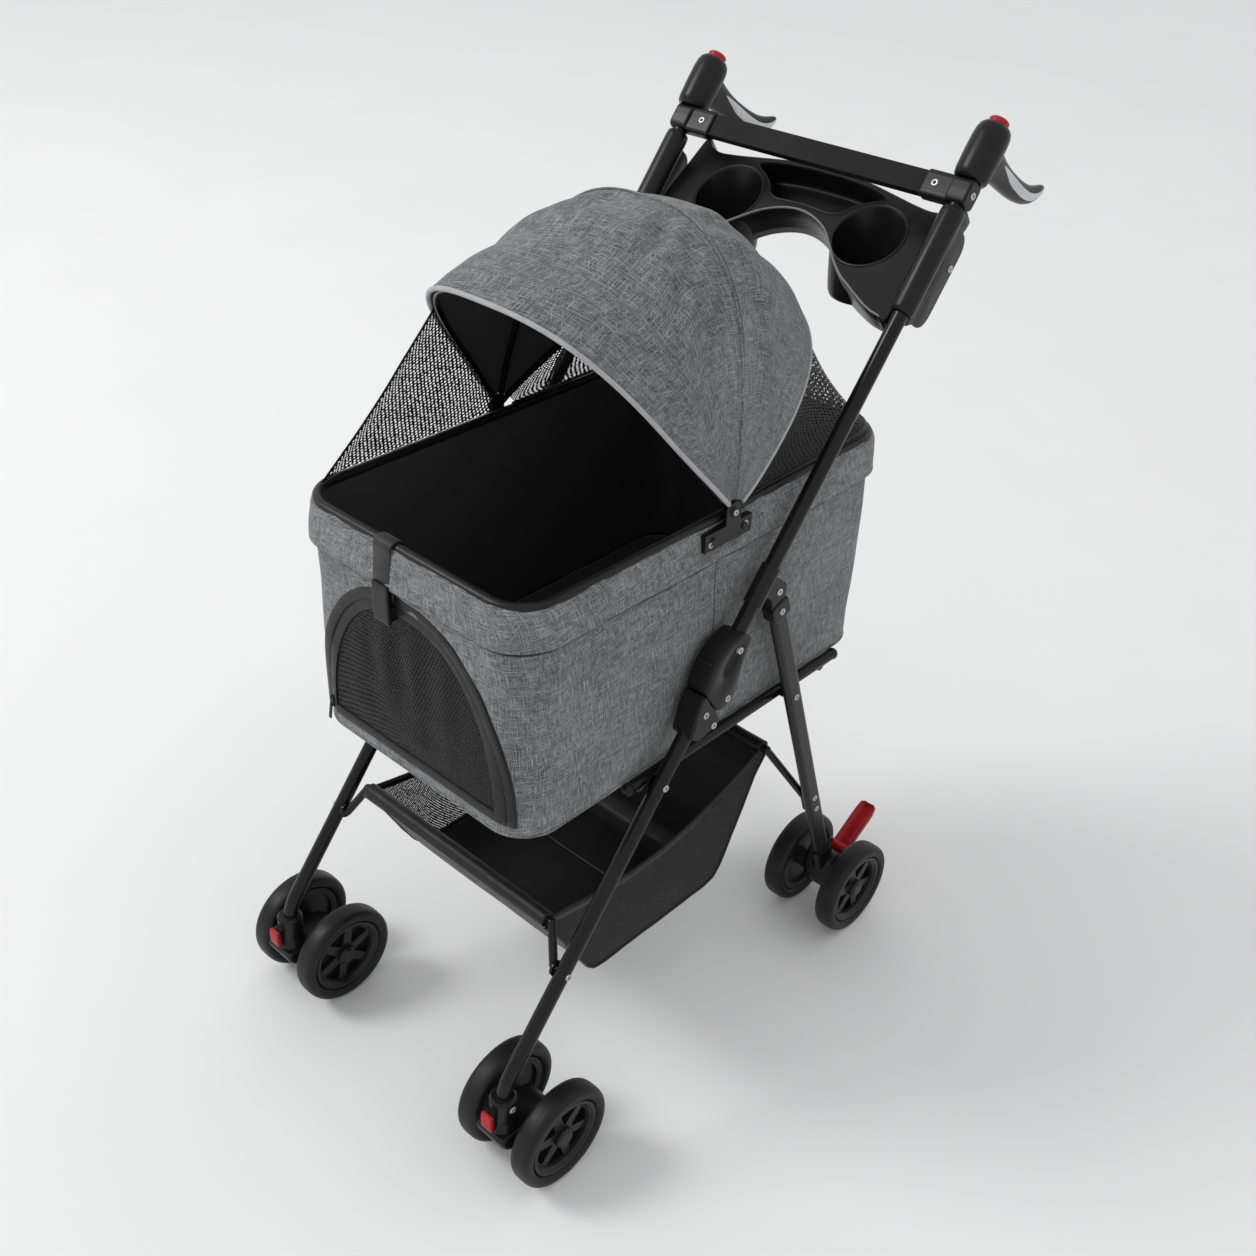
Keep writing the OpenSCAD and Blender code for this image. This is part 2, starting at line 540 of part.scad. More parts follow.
// Outlines as [behind, up] in the frame of the handle line
lower_pts = smooth([[-9.5, -46], [0, -49], [9.5, -46], [16, -38], [24.5, -26], [24.2, -15.6],
  [0, -7.8], [-19, -1.4], [-21.5, -9], [-18, -24], [-13, -36]], 3);
upper_pts = smooth([[-19.3, 1.2], [-27, 4.5], [-36, 11], [-43, 22], [-46.5, 36], [-44, 50], [-36, 61], [-24, 66],
  [-9, 68.5], [8.5, 68], [12, 60], [17, 46], [24, 30], [29, 14], [28, 2], [20, -9], [8, -8.6], [-6, -4]], 3);
finger_pts = smooth([[-22, 27], [-34, 29], [-37.5, 40], [-33, 51], [-23, 53.5], [-21, 47], [-20.5, 34]], 3);
pivot_l = [-knuckle_n, knuckle_s];
module knuckle_lower() color(black) place() both() on_line(track_half) difference() {
  union() {
    difference() {
      slab(lower_pts, -knuckle_t, knuckle_t, 2.5);
      rod_x(round_r + 2 * gap, -20, 20, pivot_l);
    }
    rod_x(10.5, -tongue_t, tongue_t, pivot_l);
    translate([-tongue_t, 11, -20]) cube([2 * tongue_t, 13.5, 24]);
  }
  translate([0, 0, -60]) cylinder(r = tube_r + 0.05, h = 80);
  rod_x(pin_r + shaft_gap, -20, 20, pivot_l);
  for (p = [[-4, -19], [20, -26]]) rod_x(pin_r - 0.5, -20, 20, p);
}
module front_leg_rivets() color(silver) place() both() {
  on_line(track_half) {
    rod_x(pin_r - 0.6, -knuckle_t - 1, knuckle_t + 1, [20, -26]);
    for (p = [[20, -26], [-4, -19]]) rivet_head(knuckle_t + 0.1, p);
    rod_x(pin_r - 0.6, tube_r, knuckle_t + 1, [-4, -19]);
  }
  rod_x(pin_r - 0.05, track_half - tube_r - 3, track_half + tube_r + 1, front_end);
  rivet_head(track_half + tube_r + 0.1, front_end, 1, 5.5);
  rivet_head(track_half + 15.1, [stem_y, socket_top - 12], 1, 5);
}
module castor_sockets() color(black) place() both() difference() {
  translate([track_half, stem_y, 0]) {
    translate([0, 0, socket_z]) cylinder(r1 = 19, r2 = 15, h = 12);
    translate([0, 0, socket_z + 11]) cylinder(r = 15, h = socket_top - socket_z - 14);
    translate([0, 0, socket_top - 3]) cylinder(r1 = 15, r2 = 12.5, h = 3);
    // guide of the swivel lock
    translate([-6, -19, socket_z + 6]) cube([12, 12, 24]);
  }
  leg_tube(tube_r + 0.1, foot_z - gap);
  translate([track_half, stem_y, socket_z - 1]) cylinder(r = stem_r + shaft_gap, h = foot_z - socket_z - 6);
}
module swivel_lock_r() color(red) place() translate([track_half, stem_y - 19 - gap, socket_z + 8]) {
  slab([for (v = ring([0, 0], 1, 24)) [-3.2 + 3.2 * sup(v[0], 4), 11 + 11 * sup(v[1], 4)]], -8, 8, 2);
  for (z = [5, 9, 13]) translate([-7, -6.6, z]) cube([14, 3, 1.6]);
}
module swivel_lock_l() left() swivel_lock_r();

// ---- Castors and front wheels ----
fork_half = wheel_off - tyre_w / 2 - 4;
fork_pts = smooth([[stem_y - 18, fork_top - 1], [stem_y - 20, fork_top - 10], [stem_y - 12, fork_top - 20],
  [stem_y + 6, wheel_r - 8], [front_axle_y - 16, wheel_r - 17], [front_axle_y, wheel_r - 21],
  [front_axle_y + 16, wheel_r - 15], [front_axle_y + 21, wheel_r], [front_axle_y + 15, wheel_r + 15],
  [front_axle_y, wheel_r + 20.5], [stem_y + 18, fork_top - 1], [stem_y, fork_top - 0.5]], 4);
module castor_fork_r() color(black) place() difference() {
  union() {
    slab(fork_pts, track_half - fork_half + 2, track_half + fork_half - 2, 4, 3);
    translate([track_half, stem_y, fork_top - 14]) cylinder(r = 18, h = 14);
    rod_x(11, track_half - fork_half - 3, track_half + fork_half + 3, [front_axle_y, wheel_r]);
    translate([track_half, stem_y, fork_top - 1]) cylinder(r = stem_r, h = foot_z - fork_top - 8);
  }
  rod_x(axle_r + 0.05, track_half - 40, track_half + 40, [front_axle_y, wheel_r]);
}
module castor_fork_l() left() castor_fork_r();
module castor_axle_r() color(silver) place()
  rod_x(axle_r, track_half - wheel_off - 9, track_half + wheel_off + 9, [front_axle_y, wheel_r]);
module castor_axle_l() left() castor_axle_r();
tyre_h = 16;
rim_r = wheel_r - tyre_h;
tyre_pts = [for (v = ring([0, 0], 1, 28)) [rim_r + tyre_h / 2 + tyre_h / 2 * sup(v[0], 2.6), tyre_w / 2 * sup(v[1], 3.2)]];
module tyre(x, y) translate([x, y, wheel_r]) rotate([0, 90, 0]) rotate_extrude($fn = 96) polygon(tyre_pts);
hub_half = wheel_off - fork_half - 3 - gap;
// Six-spoked wheel; out is 1 when its hub cap faces away from the frame
module wheel_rim(x, y, out) translate([x, y, wheel_r]) rotate([0, 90 * out, 0]) difference() {
  union() {
    rotate_extrude($fn = 96) polygon([[rim_r - 8, -tyre_w / 2 + 4], [rim_r - 0.05, -tyre_w / 2 + 3],
      [rim_r - 0.05, tyre_w / 2 - 3], [rim_r - 4, tyre_w / 2 - 3], [rim_r - 7, 8], [rim_r - 8, 7]]);
    rotate_extrude() polygon([[0, -hub_half], [12, -hub_half], [12, 9.5], [9, 12.5], [0, 12.5]]);
    translate([0, 0, -6]) cylinder(r = rim_r - 5, h = 11);
  }
  // pockets between the spokes
  for (i = [0:5]) rotate([0, 0, 60 * i + 13]) translate([0, 0, -3]) linear_extrude(20)
    polygon(concat([for (a = [36, 24]) 15 * [cos(a), sin(a)]], [for (a = [8:5.5:52]) (rim_r - 9.5) * [cos(a), sin(a)]]));
  translate([0, 0, -hub_half - 1]) cylinder(r = axle_r + shaft_gap, h = hub_half + 1 + 9.5);
}
module front_rim_r_out() color(satin) place() wheel_rim(track_half + wheel_off, front_axle_y, 1);
module front_rim_r_in() color(satin) place() wheel_rim(track_half - wheel_off, front_axle_y, -1);
module front_rim_l_out() left() front_rim_r_out();
module front_rim_l_in() left() front_rim_r_in();
module front_tyre_r_out() color(black) place() tyre(track_half + wheel_off, front_axle_y);
module front_tyre_r_in() color(black) place() tyre(track_half - wheel_off, front_axle_y);
module front_tyre_l_out() left() front_tyre_r_out();
module front_tyre_l_in() left() front_tyre_r_in();
module rear_rims_r() color(satin) place() {
  wheel_rim(track_half + wheel_off, rear_axle_y, 1);
  wheel_rim(track_half - wheel_off, rear_axle_y, -1);
}
module rear_rims_l() left() rear_rims_r();
module rear_tyres_r() color(black) place() for (e = [-1, 1]) tyre(track_half + e * wheel_off, rear_axle_y);
module rear_tyres_l() left() rear_tyres_r();
module rear_axle_r() color(silver) place()
  rod_x(axle_r, track_half - wheel_off - 9, track_half + wheel_off + 9, [rear_axle_y, wheel_r]);
module rear_axle_l() left() rear_axle_r();

// ---- Rear legs ----
leg_foot = 26;
cap_len = 42;
module rear_leg_tubes() color(satin) place() both() difference() {
  on_rear(track_half) translate([0, 0, leg_foot]) linear_extrude(rear_len - leg_foot - 18) oval(rear_leg_w, rear_leg_t);
  rod_x(pin_r + shaft_gap, track_half - 20, track_half + 20, rear_pivot);
  on_rear(0) for (z = plate_z) rod_x(pin_r, track_half - 20, track_half + 20, [0, z]);
  on_rear(0) rod_x(pin_r, track_half - 20, track_half + 20, [0, rear_len - 32]);
}
cheek_x = 6.8;
module rear_leg_caps() color(black) place() both() on_rear(track_half) translate([0, 0, rear_len]) difference() {
  union() {
    slab(smooth([[0, 11.2], [-8, 8], [-11.2, 0], [-11.6, -14], [-11.8, -30], [11.8, -30],
      [11.6, -14], [11.2, 0], [8, 8]], 3), -cheek_x + gap, cheek_x - gap, 1.6);
    slab([for (v = ring([0, 0], 1, 28)) [14.4 * sup(v[0], 5), 12 * sup(v[1], 5) - 31]],
      -rear_leg_t / 2 - 2.2, rear_leg_t / 2 + 2.2, 1.6);
  }
  translate([0, 0, -60]) linear_extrude(60 - 18 + 0.3) oval(rear_leg_w + 0.2, rear_leg_t + 0.2);
  rod_x(pin_r, -20, 20, [0, -32]);
}
module rear_leg_rivets() color(silver) place() both() {
  on_rear(track_half) {
    rod_x(pin_r - 0.05, -rear_leg_t / 2 - 2, rear_leg_t / 2 + 3, [0, rear_len - 32]);
    rivet_head(rear_leg_t / 2 + 2.3, [0, rear_len - 32], 1, 5.5);
  }
  on_rear(track_half) for (z = plate_z) {
    rod_x(pin_r - 0.05, -rear_leg_t / 2 - 3, rear_leg_t / 2 + 1, [0, z]);
    rivet_head(rear_leg_t / 2 + 0.1, [0, z], 1, 5.5);
  }
}
pedal_pt = [rear_axle_y + 30, wheel_r + 20];
module rear_wheel_housings() color(black) place() both() difference() {
  union() {
    slab(smooth([[rear_axle_y, wheel_r - 21], [rear_axle_y + 15, wheel_r - 15], [rear_axle_y + 30, wheel_r + 4],
      [pedal_pt[0] + 8, pedal_pt[1]], [pedal_pt[0], pedal_pt[1] + 8], [rear_axle_y + 14, wheel_r + 24],
      [rear_axle_y, wheel_r + 40], [rear_axle_y - 14, wheel_r + 38], [rear_axle_y - 21, wheel_r + 16],
      [rear_axle_y - 21, wheel_r], [rear_axle_y - 15, wheel_r - 15]], 4),
      track_half - fork_half + 2, track_half + fork_half - 2, 6, 4);
    on_rear(track_half) translate([0, 0, leg_foot - 12]) linear_extrude(44) oval(rear_leg_w + 7, rear_leg_t + 10);
    rod_x(11, track_half - fork_half - 3, track_half + fork_half + 3, [rear_axle_y, wheel_r]);
  }
  on_rear(track_half) translate([0, 0, leg_foot - 0.3]) linear_extrude(80) oval(rear_leg_w + 0.1, rear_leg_t + 0.1);
  rod_x(axle_r + shaft_gap, track_half - 40, track_half + 40, [rear_axle_y, wheel_r]);
  // slot and pin bore for the pedal
  rod_x(13, track_half - 12 - gap, track_half + 12 + gap, pedal_pt);
  translate([track_half - 12 - gap, pedal_pt[0] - 4, pedal_pt[1] - 16]) cube([24 + 2 * gap, 40, 60]);
  rod_x(pin_r, track_half - 17, track_half + 17, pedal_pt);
}
pedal_len = 58;
module brake_pedal_r() color(red) place() translate([track_half, pedal_pt[0], pedal_pt[1]]) {
  rod_x(8, -12, 12);
  rod_x(pin_r - shaft_gap, -16.5, 16.5);
  rotate([36, 0, 0]) translate([-10.5, 0, -3.2]) cube([21, 36, 7]);
  slab(smooth([[17, 9.5], [30, 17.5], [46, 25], [pedal_len - 3, 33], [pedal_len - 2, 38], [44, 35.5],
    [28, 27.5], [17, 20]], 3), -16, 16, 2.5);
}
module brake_pedal_l() left() brake_pedal_r();

// ---- Handle ----
module handle_tubes() color(black) place() both() difference() {
  on_line(track_half) translate([0, 0, 13]) cylinder(r = tube_r, h = handle_len - 13);
  on_line(track_half) {
    rod_x(pin_r - 0.5, -20, 20, [-2, 57]);
    rod_x(pin_r, -20, 20, [0, bar_s]);
  }
}
module knuckle_upper() color(black) place() both() on_line(track_half) difference() {
  union() {
    difference() {
      slab(upper_pts, -knuckle_t, knuckle_t, 2.5);
      // the rear corner is rounded about the pivot
      difference() {
        translate([-30, 12, -40]) cube([60, 60, 40 + knuckle_s - 3]);
        rod_x(round_r, -40, 40, pivot_l);
      }
      translate([-tongue_t - gap, 9.2, -30]) cube([2 * (tongue_t + gap), 40, 60]);
      translate([-tongue_t - gap, -8, -30]) cube([2 * (tongue_t + gap), 40, 30 + 5]);
    }
  }
  cylinder(r = tube_r + 0.05, h = 100);
  translate([-40, 0, 0]) rotate([90, 0, 90]) linear_extrude(80) polygon(finger_pts);
  rod_x(pin_r, -20, 20, pivot_l);
  rod_x(pin_r - 0.5, -20, 20, [-2, 57]);
}
module release_catch_r() color(red) place() on_line(track_half)
  slab(smooth([[-24, 27.2], [-32, 28.6], [-33.5, 32.6], [-24, 31.6]], 4), -9, 9, 1.5);
module release_catch_l() left() release_catch_r();
pivot_half = cheek_x + 3;
sleeve_r = tube_r + 2.2;
module leg_sleeves() color(black) place() both() on_line(track_half) difference() {
  union() {
    translate([0, 0, sleeve_s - 25]) cylinder(r = sleeve_r, h = 45);
    for (e = [-1, 1]) {
      x = e > 0 ? cheek_x : -pivot_half;
      rod_x(12, x, x + 3, [-sleeve_n, sleeve_s]);
      translate([x, 0, sleeve_s - 12]) cube([3, -sleeve_n, 24]);
    }
  }
  translate([0, 0, sleeve_s - 40]) cylinder(r = tube_r + 0.05, h = 90);
}
module crossbar() color(black) place() on_line(0) {
  translate([-track_half + tube_r + gap, -6, bar_s - 12.5]) cube([2 * (track_half - tube_r - gap), 12, 25]);
}
module crossbar_brackets() color(satin) place() both() on_line(track_half) difference() {
  union() {
    slab([for (v = ring([0, bar_s], 1, 28)) [(tube_r + 3.5) * sup(v[0], 3.4), bar_s + 15 * sup(v[1] - bar_s, 5)]],
      -tube_r - 3.5, tube_r + 3.5, 2.5);
    slab([for (v = ring([0, bar_s], 1, 28)) [9 * sup(v[0], 5), bar_s + 15 * sup(v[1] - bar_s, 6)]], -44, -2, 2);
  }
  translate([0, 0, bar_s - 40]) cylinder(r = tube_r + 0.05, h = 80);
  translate([-100, -6.05, bar_s - 12.55]) cube([100 - tube_r - gap + 0.05, 12.1, 25.1]);
}
tray_t = 5;
tray_n = 28;
// Right half of the tray's outline, from the rear middle round to the front middle, as [x, along]
sleeve_in = track_half - tube_r - 3.2;
tray_half = [[0, 13], [45, 8], [90, -1], [137, -7], [152, -3], [sleeve_in, 4], [sleeve_in + 1, -30], [sleeve_in + 1, -80],
  [sleeve_in, -128], [147, -124], [128, -104], [116, -78], [98, -52], [72, -48], [52, -62], [26, -47]];
tray_out = smooth(concat([for (i = [0:len(tray_half) - 1]) [-tray_half[i][0], tray_half[i][1]]], [[0, -40]],
  [for (i = [len(tray_half) - 1:-1:1]) tray_half[i]]), 2);
recess_out = smooth([[0, -3], [-40, -3], [-54, -6], [-56, -16], [-50, -30], [-38, -38], [-18, -31], [0, -29],
  [18, -31], [38, -38], [50, -30], [56, -16], [54, -6], [40, -3]], 3);
module on_tray() translate([0, tray_y, tray_z]) rotate([tray_a, 0, 0]) children();
cup_t = -50.5;
cup_mid = [tray_y + cup_t * cos(tray_a), tray_z + cup_t * sin(tray_a)];
// Cup from the sloping mouth to the flat bottom, moved in by d
module cup_well(d, z0, over) {
  n = 36;
  skin([for (k = [0:4]) let(w = k / 4, r = cup_r - 7 + 7 * pow(w, 0.6) - d)
    [for (i = [0:n - 1]) let(c = cos(360 * i / n), s = sin(360 * i / n), y = r * s * (1 - (1 - cos(tray_a)) * w))
      [cup_x + r * c, cup_mid[0] + y, z0 + (cup_mid[1] + over + y * tan(tray_a) - z0) * w]]]);
}
module parent_tray() color(black) place() difference() {
  union() {
    on_tray() slab_z(tray_out, -tray_t, 0, 2.2, 2);
    on_tray() slab_z(inset(recess_out, -3), -tray_n, -1, 2.5, 2);
    both() {
      cup_well(-2.5, cup_z, 1.5);
      on_line(track_half) {
        // half pipe with a flange behind the tube
        translate([0, 0, handle_len - 200]) cylinder(r = tube_r + 4, h = 116);
        translate([2, 0, handle_len - 160]) cube([4, 46, 60]);
      }
    }
  }
  both() {
    cup_well(0, cup_z + 3, 14);
    on_line(track_half) {
      translate([0, 0, handle_len - 300]) cylinder(r = tube_r + 0.1, h = 400);
      translate([-30, -40, handle_len - 300]) cube([60, 37, 400]);
    }
  }
  on_tray() slab_z(recess_out, -tray_n + 3, 20, 2, 2);
}
module handle_fasteners() color(silver) place() both() on_line(track_half) {
  // knuckle pivot pin with its heads
  rod_x(pin_r - 0.05, -knuckle_t - 0.1, knuckle_t + 0.1, pivot_l);
  rivet_head(knuckle_t + 0.05, pivot_l);
  rod_x(pin_r - 0.6, tube_r, knuckle_t, [-2, 57]);
  rivet_head(knuckle_t + 0.05, [-2, 57], 1, 5.5);
  rivet_head(pivot_half + 0.05, [-sleeve_n, sleeve_s]);
  rivet_head(tube_r + 3.55, [0, bar_s], 1, 5.5);
  translate([-30, -9.05, bar_s]) rotate([90, 0, 0]) cylinder(r = 5, h = 1.8);
  rivet_head(6.05, [38, handle_len - 129], 1, 5);
}

// ---- Grips with hooks and buttons ----
module grip_r() color(black) place() on_line(track_half) difference() {
  union() {
    translate([0, 0, grip_s]) cylinder(r1 = grip_r - 4, r2 = grip_r, h = 4);
    translate([0, 0, grip_s + 4]) cylinder(r = grip_r, h = 48);
    translate([0, 0, grip_s + 52]) cylinder(r1 = grip_r, r2 = grip_r - 5, h = 5);
    skin([for (i = [0:len(horn) - 1]) horn_ring(i)]);
  }
  translate([0, 0, grip_s - 1]) cylinder(r = tube_r + shaft_gap, h = handle_len - grip_s + 1 + gap);
  translate([0, 0, handle_len + gap - 0.1]) cylinder(r = 11 + shaft_gap, h = 40);
}
module grip_l() left() grip_r();
module button_r() color(red) place() on_line(track_half) {
  translate([0, 0, handle_len + 5]) cylinder(r = 11, h = 13);
  translate([0, 0, handle_len + 18]) rotate_extrude() polygon(concat([[0, 0]],
    [for (i = [0:8]) [11 * cos(i * 90 / 8), 4 * sin(i * 90 / 8)]]));
}
module button_l() left() button_r();

base_frame();
frame_rivets();
floor_mat();
cabin_shell();
rim_frame();
canopy_hinge_plates();
canopy_rear_bow();
canopy_fabric();
buckle_socket();
mesh_covers();
storage_basket();
canopy_mid_bow();
canopy_front_bow();
door_panel();
buckle_plug();
front_leg_tubes();
knuckle_lower();
front_basket_frame();
castor_sockets();
front_leg_rivets();
rear_leg_tubes();
rear_leg_caps();
rear_basket_frame();
rear_wheel_housings();
rear_leg_rivets();
handle_tubes();
knuckle_upper();
leg_sleeves();
crossbar();
crossbar_brackets();
parent_tray();
handle_fasteners();
release_catch_r();
release_catch_l();
grip_r();
grip_l();
button_r();
button_l();
castor_fork_r();
castor_fork_l();
castor_axle_r();
castor_axle_l();
swivel_lock_r();
swivel_lock_l();
brake_pedal_r();
brake_pedal_l();
front_rim_r_out();
front_tyre_r_out();
front_rim_r_in();
front_tyre_r_in();
front_rim_l_out();
front_tyre_l_out();
front_rim_l_in();
front_tyre_l_in();
rear_rims_r();
rear_tyres_r();
rear_axle_r();
rear_rims_l();
rear_tyres_l();
rear_axle_l();
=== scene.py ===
# %% [markdown]
# # Pet stroller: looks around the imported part
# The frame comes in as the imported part. This script makes the soft goods, the small trim and every finish.
# Lengths below are in millimetres, in the frame the part was drawn in; P() and at() turn them into metres here.

# %%
from math import asin, copysign, cos, exp, hypot, pi, radians, sin, sqrt
import bmesh
import bpy
import numpy as np
from mathutils import Matrix, Vector, noise
from mathutils.geometry import delaunay_2d_cdt


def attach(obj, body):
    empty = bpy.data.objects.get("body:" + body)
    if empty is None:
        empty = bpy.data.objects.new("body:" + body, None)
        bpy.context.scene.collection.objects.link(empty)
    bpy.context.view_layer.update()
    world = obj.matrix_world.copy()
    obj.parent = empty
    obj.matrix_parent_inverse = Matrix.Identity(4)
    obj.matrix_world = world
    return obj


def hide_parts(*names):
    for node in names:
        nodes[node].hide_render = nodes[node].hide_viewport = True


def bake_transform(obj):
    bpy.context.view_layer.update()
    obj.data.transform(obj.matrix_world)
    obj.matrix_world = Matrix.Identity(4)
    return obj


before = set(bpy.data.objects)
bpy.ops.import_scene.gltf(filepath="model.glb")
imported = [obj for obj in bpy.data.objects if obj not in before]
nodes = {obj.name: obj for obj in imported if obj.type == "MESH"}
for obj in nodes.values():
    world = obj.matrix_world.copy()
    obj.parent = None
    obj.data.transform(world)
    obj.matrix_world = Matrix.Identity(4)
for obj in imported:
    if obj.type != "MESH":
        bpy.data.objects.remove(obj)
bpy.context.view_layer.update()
SHIFT, MM = 4.4816, 0.001
SIDES = ((1, "r"), (-1, "l"))
print(len(nodes), "nodes")


def P(p):
    return (np.asarray(p, float).reshape(-1, 3) + (0, SHIFT, 0)) * MM


def at(p):
    return tuple(P(p)[0])


def wob(x, y, z, size, seed=0.0):
    return noise.noise(Vector((x / size + seed * 7.3, y / size - seed * 3.1, z / size + seed)))


def shares(n):
    return np.linspace(0, 1, n)


def hump(t):
    return sin(pi * t)


def unit(v):
    return v / (np.linalg.norm(v, axis=-1, keepdims=True) + 1e-12)


def turns(n):
    return np.arange(n) * 2 * pi / n


def circle(r, n, start=0.0):
    t = turns(n) + start
    return r * np.stack([np.cos(t), np.sin(t)], 1)


def smooth01(t):
    t = min(1.0, max(0.0, t))
    return t * t * (3 - 2 * t)


# %% [markdown]
# ## Shader tools
# Each finish is one Principled shader whose colour, roughness and bump come from noise in object or cloth coordinates.
# Cloth pieces carry their own flat coordinates in metres, so a weave keeps its real size on any shape.

# %%
class Mat:
    def __init__(self, name, **k):
        self.m = bpy.data.materials.new(name)
        self.m.use_nodes = True
        self.t = self.m.node_tree
        self.link = self.t.links.new
        self.b = self.t.nodes["Principled BSDF"]
        self.set(self.b, **k)

    def set(self, n, **k):
        for key, v in k.items():
            s = n.inputs[key.replace("_", " ")]
            if hasattr(v, "is_output") or isinstance(v, bpy.types.NodeSocket):
                self.link(v, s)
            else:
                s.default_value = v
        return n

    def node(self, kind, **k):
        n = self.t.nodes.new(kind)
        for key, v in k.items():
            setattr(n, key, v)
        return n

    def coord(self, kind="Object", scale=(1, 1, 1), rot=0.0, move=0.0):
        c = self.node("ShaderNodeTexCoord")
        m = self.node("ShaderNodeMapping", vector_type="TEXTURE")
        m.inputs["Scale"].default_value = [1 / v for v in scale]
        m.inputs["Rotation"].default_value = (0, 0, rot)
        m.inputs["Location"].default_value = (move, 1.7 * move, 0)
        self.link(c.outputs[kind], m.inputs["Vector"])
        return m.outputs["Vector"]

    def noise(self, vec, scale, detail=3, rough=0.5):
        n = self.node("ShaderNodeTexNoise")
        self.set(n, Vector=vec, Scale=scale, Detail=detail, Roughness=rough)
        return n.outputs["Fac"]

    def math(self, op, a, b=0.0):
        n = self.node("ShaderNodeMath", operation=op)
        for i, v in enumerate((a, b)):
            if isinstance(v, bpy.types.NodeSocket):
                self.link(v, n.inputs[i])
            else:
                n.inputs[i].default_value = v
        return n.outputs[0]

    def mul(self, a, b):
        return self.math("MULTIPLY", a, b)

    def add(self, a, b):
        return self.math("ADD", a, b)

    def ramp(self, fac, *stops):
        n = self.node("ShaderNodeValToRGB")
        r = n.color_ramp
        while len(r.elements) < len(stops):
            r.elements.new(0.5)
        for e, (p, c) in zip(r.elements, stops):
            e.position = p
            e.color = (*c, 1)
        self.link(fac, n.inputs["Fac"])
        return n.outputs["Color"]

    def span(self, fac, lo, hi, a=0.0, b=1.0):
        n = self.node("ShaderNodeMapRange")
        self.set(n, Value=fac)
        for i, v in ((1, a), (2, b), (3, lo), (4, hi)):
            n.inputs[i].default_value = v
        return n.outputs["Result"]

    def bump(self, height, dist, strength=1.0, normal=None):
        n = self.node("ShaderNodeBump")
        self.set(n, Height=height, Distance=dist, Strength=strength)
        if normal is not None:
            self.link(normal, n.inputs["Normal"])
        return n.outputs["Normal"]

    def round(self, radius):
        n = self.node("ShaderNodeBevel", samples=4)
        n.inputs["Radius"].default_value = radius
        return n.outputs["Normal"]


def hard(name, dark, lite, rough, grain=900, depth=0.00004, metal=0.0, soft=0.0008, spec=0.3):
    """Painted metal or moulded plastic: faint colour and gloss variation, a fine grain and softened edges."""
    m = Mat(name, Metallic=metal, Specular_IOR_Level=0.5 if metal else spec)
    big = m.noise(m.coord(), 14, 4)
    fine = m.noise(m.coord(), grain, 2)
    m.set(m.b, Base_Color=m.ramp(big, (0.3, dark), (0.7, lite)))
    m.set(m.b, Roughness=m.span(big, rough - 0.05, rough + 0.07, 0.3, 0.7))
    m.set(m.b, Normal=m.bump(fine, depth, 0.6, m.round(soft) if soft else None))
    return m.m


def threads(m, turn, long, fine, move=0.0):
    """Slub threads in two crossing directions, on the cloth's own flat coordinates."""
    a = m.noise(m.coord("UV", (long, fine, 1), turn, move), 1.0, 3, 0.6)
    b = m.noise(m.coord("UV", (fine, long, 1), turn, move), 1.0, 3, 0.6)
    return m.math("MAXIMUM", a, b)


def heather(name, dark, mid, lite, depth=0.0003):
    """Melange canvas: a slanted crosshatch of fine light slubs and thin dark gaps on a mid grey."""
    m = Mat(name, Sheen_Weight=0.15, Sheen_Roughness=0.5, Specular_IOR_Level=0.25)
    slant = m.mul(threads(m, 0.80, 78, 860, 0.31), 0.95)
    light = m.math("MAXIMUM", threads(m, 0.10, 52, 980), slant)
    gaps = threads(m, 0.08, 40, 1080, 0.77)
    cloud = m.noise(m.coord("UV"), 11, 4)
    mix = m.math("SUBTRACT", m.mul(light, 1.25), m.mul(gaps, 0.62))
    mix = m.add(mix, m.mul(m.math("SUBTRACT", cloud, 0.5), 0.14))
    m.set(m.b, Base_Color=m.ramp(mix, (0.22, dark), (0.35, mid), (0.52, lite)))
    m.set(m.b, Roughness=m.span(mix, 0.95, 0.8, 0.25, 0.5))
    relief = m.add(m.mul(mix, 1.6), m.mul(weave(m, 0.0011), 0.25))
    m.set(m.b, Normal=m.bump(relief, depth, 0.8))
    return m.m


def weave(m, pitch):
    """Over-and-under threads, from two crossed waves."""
    out = []
    for d in ("X", "Y"):
        n = m.node("ShaderNodeTexWave", wave_type="BANDS", bands_direction=d, wave_profile="SIN")
        m.set(n, Vector=m.coord("UV"), Scale=0.314159 / pitch, Distortion=0.4)
        out.append(n.outputs["Fac"])
    return m.mul(out[0], out[1])


def cloth(name, dark, lite, rough=0.75, pitch=0.0014, depth=0.0002, sheen=0.15, spec=0.4):
    """Plain woven nylon."""
    m = Mat(name, Sheen_Weight=sheen, Sheen_Roughness=0.4, Specular_IOR_Level=spec)
    w = weave(m, pitch)
    n = m.noise(m.coord("UV"), 60, 4)
    mix = m.add(m.mul(w, 0.5), m.mul(n, 0.5))
    m.set(m.b, Base_Color=m.ramp(mix, (0.2, dark), (0.8, lite)))
    m.set(m.b, Roughness=m.span(n, rough - 0.08, rough + 0.08, 0.3, 0.7))
    m.set(m.b, Normal=m.bump(mix, depth, 0.7))
    return m.m


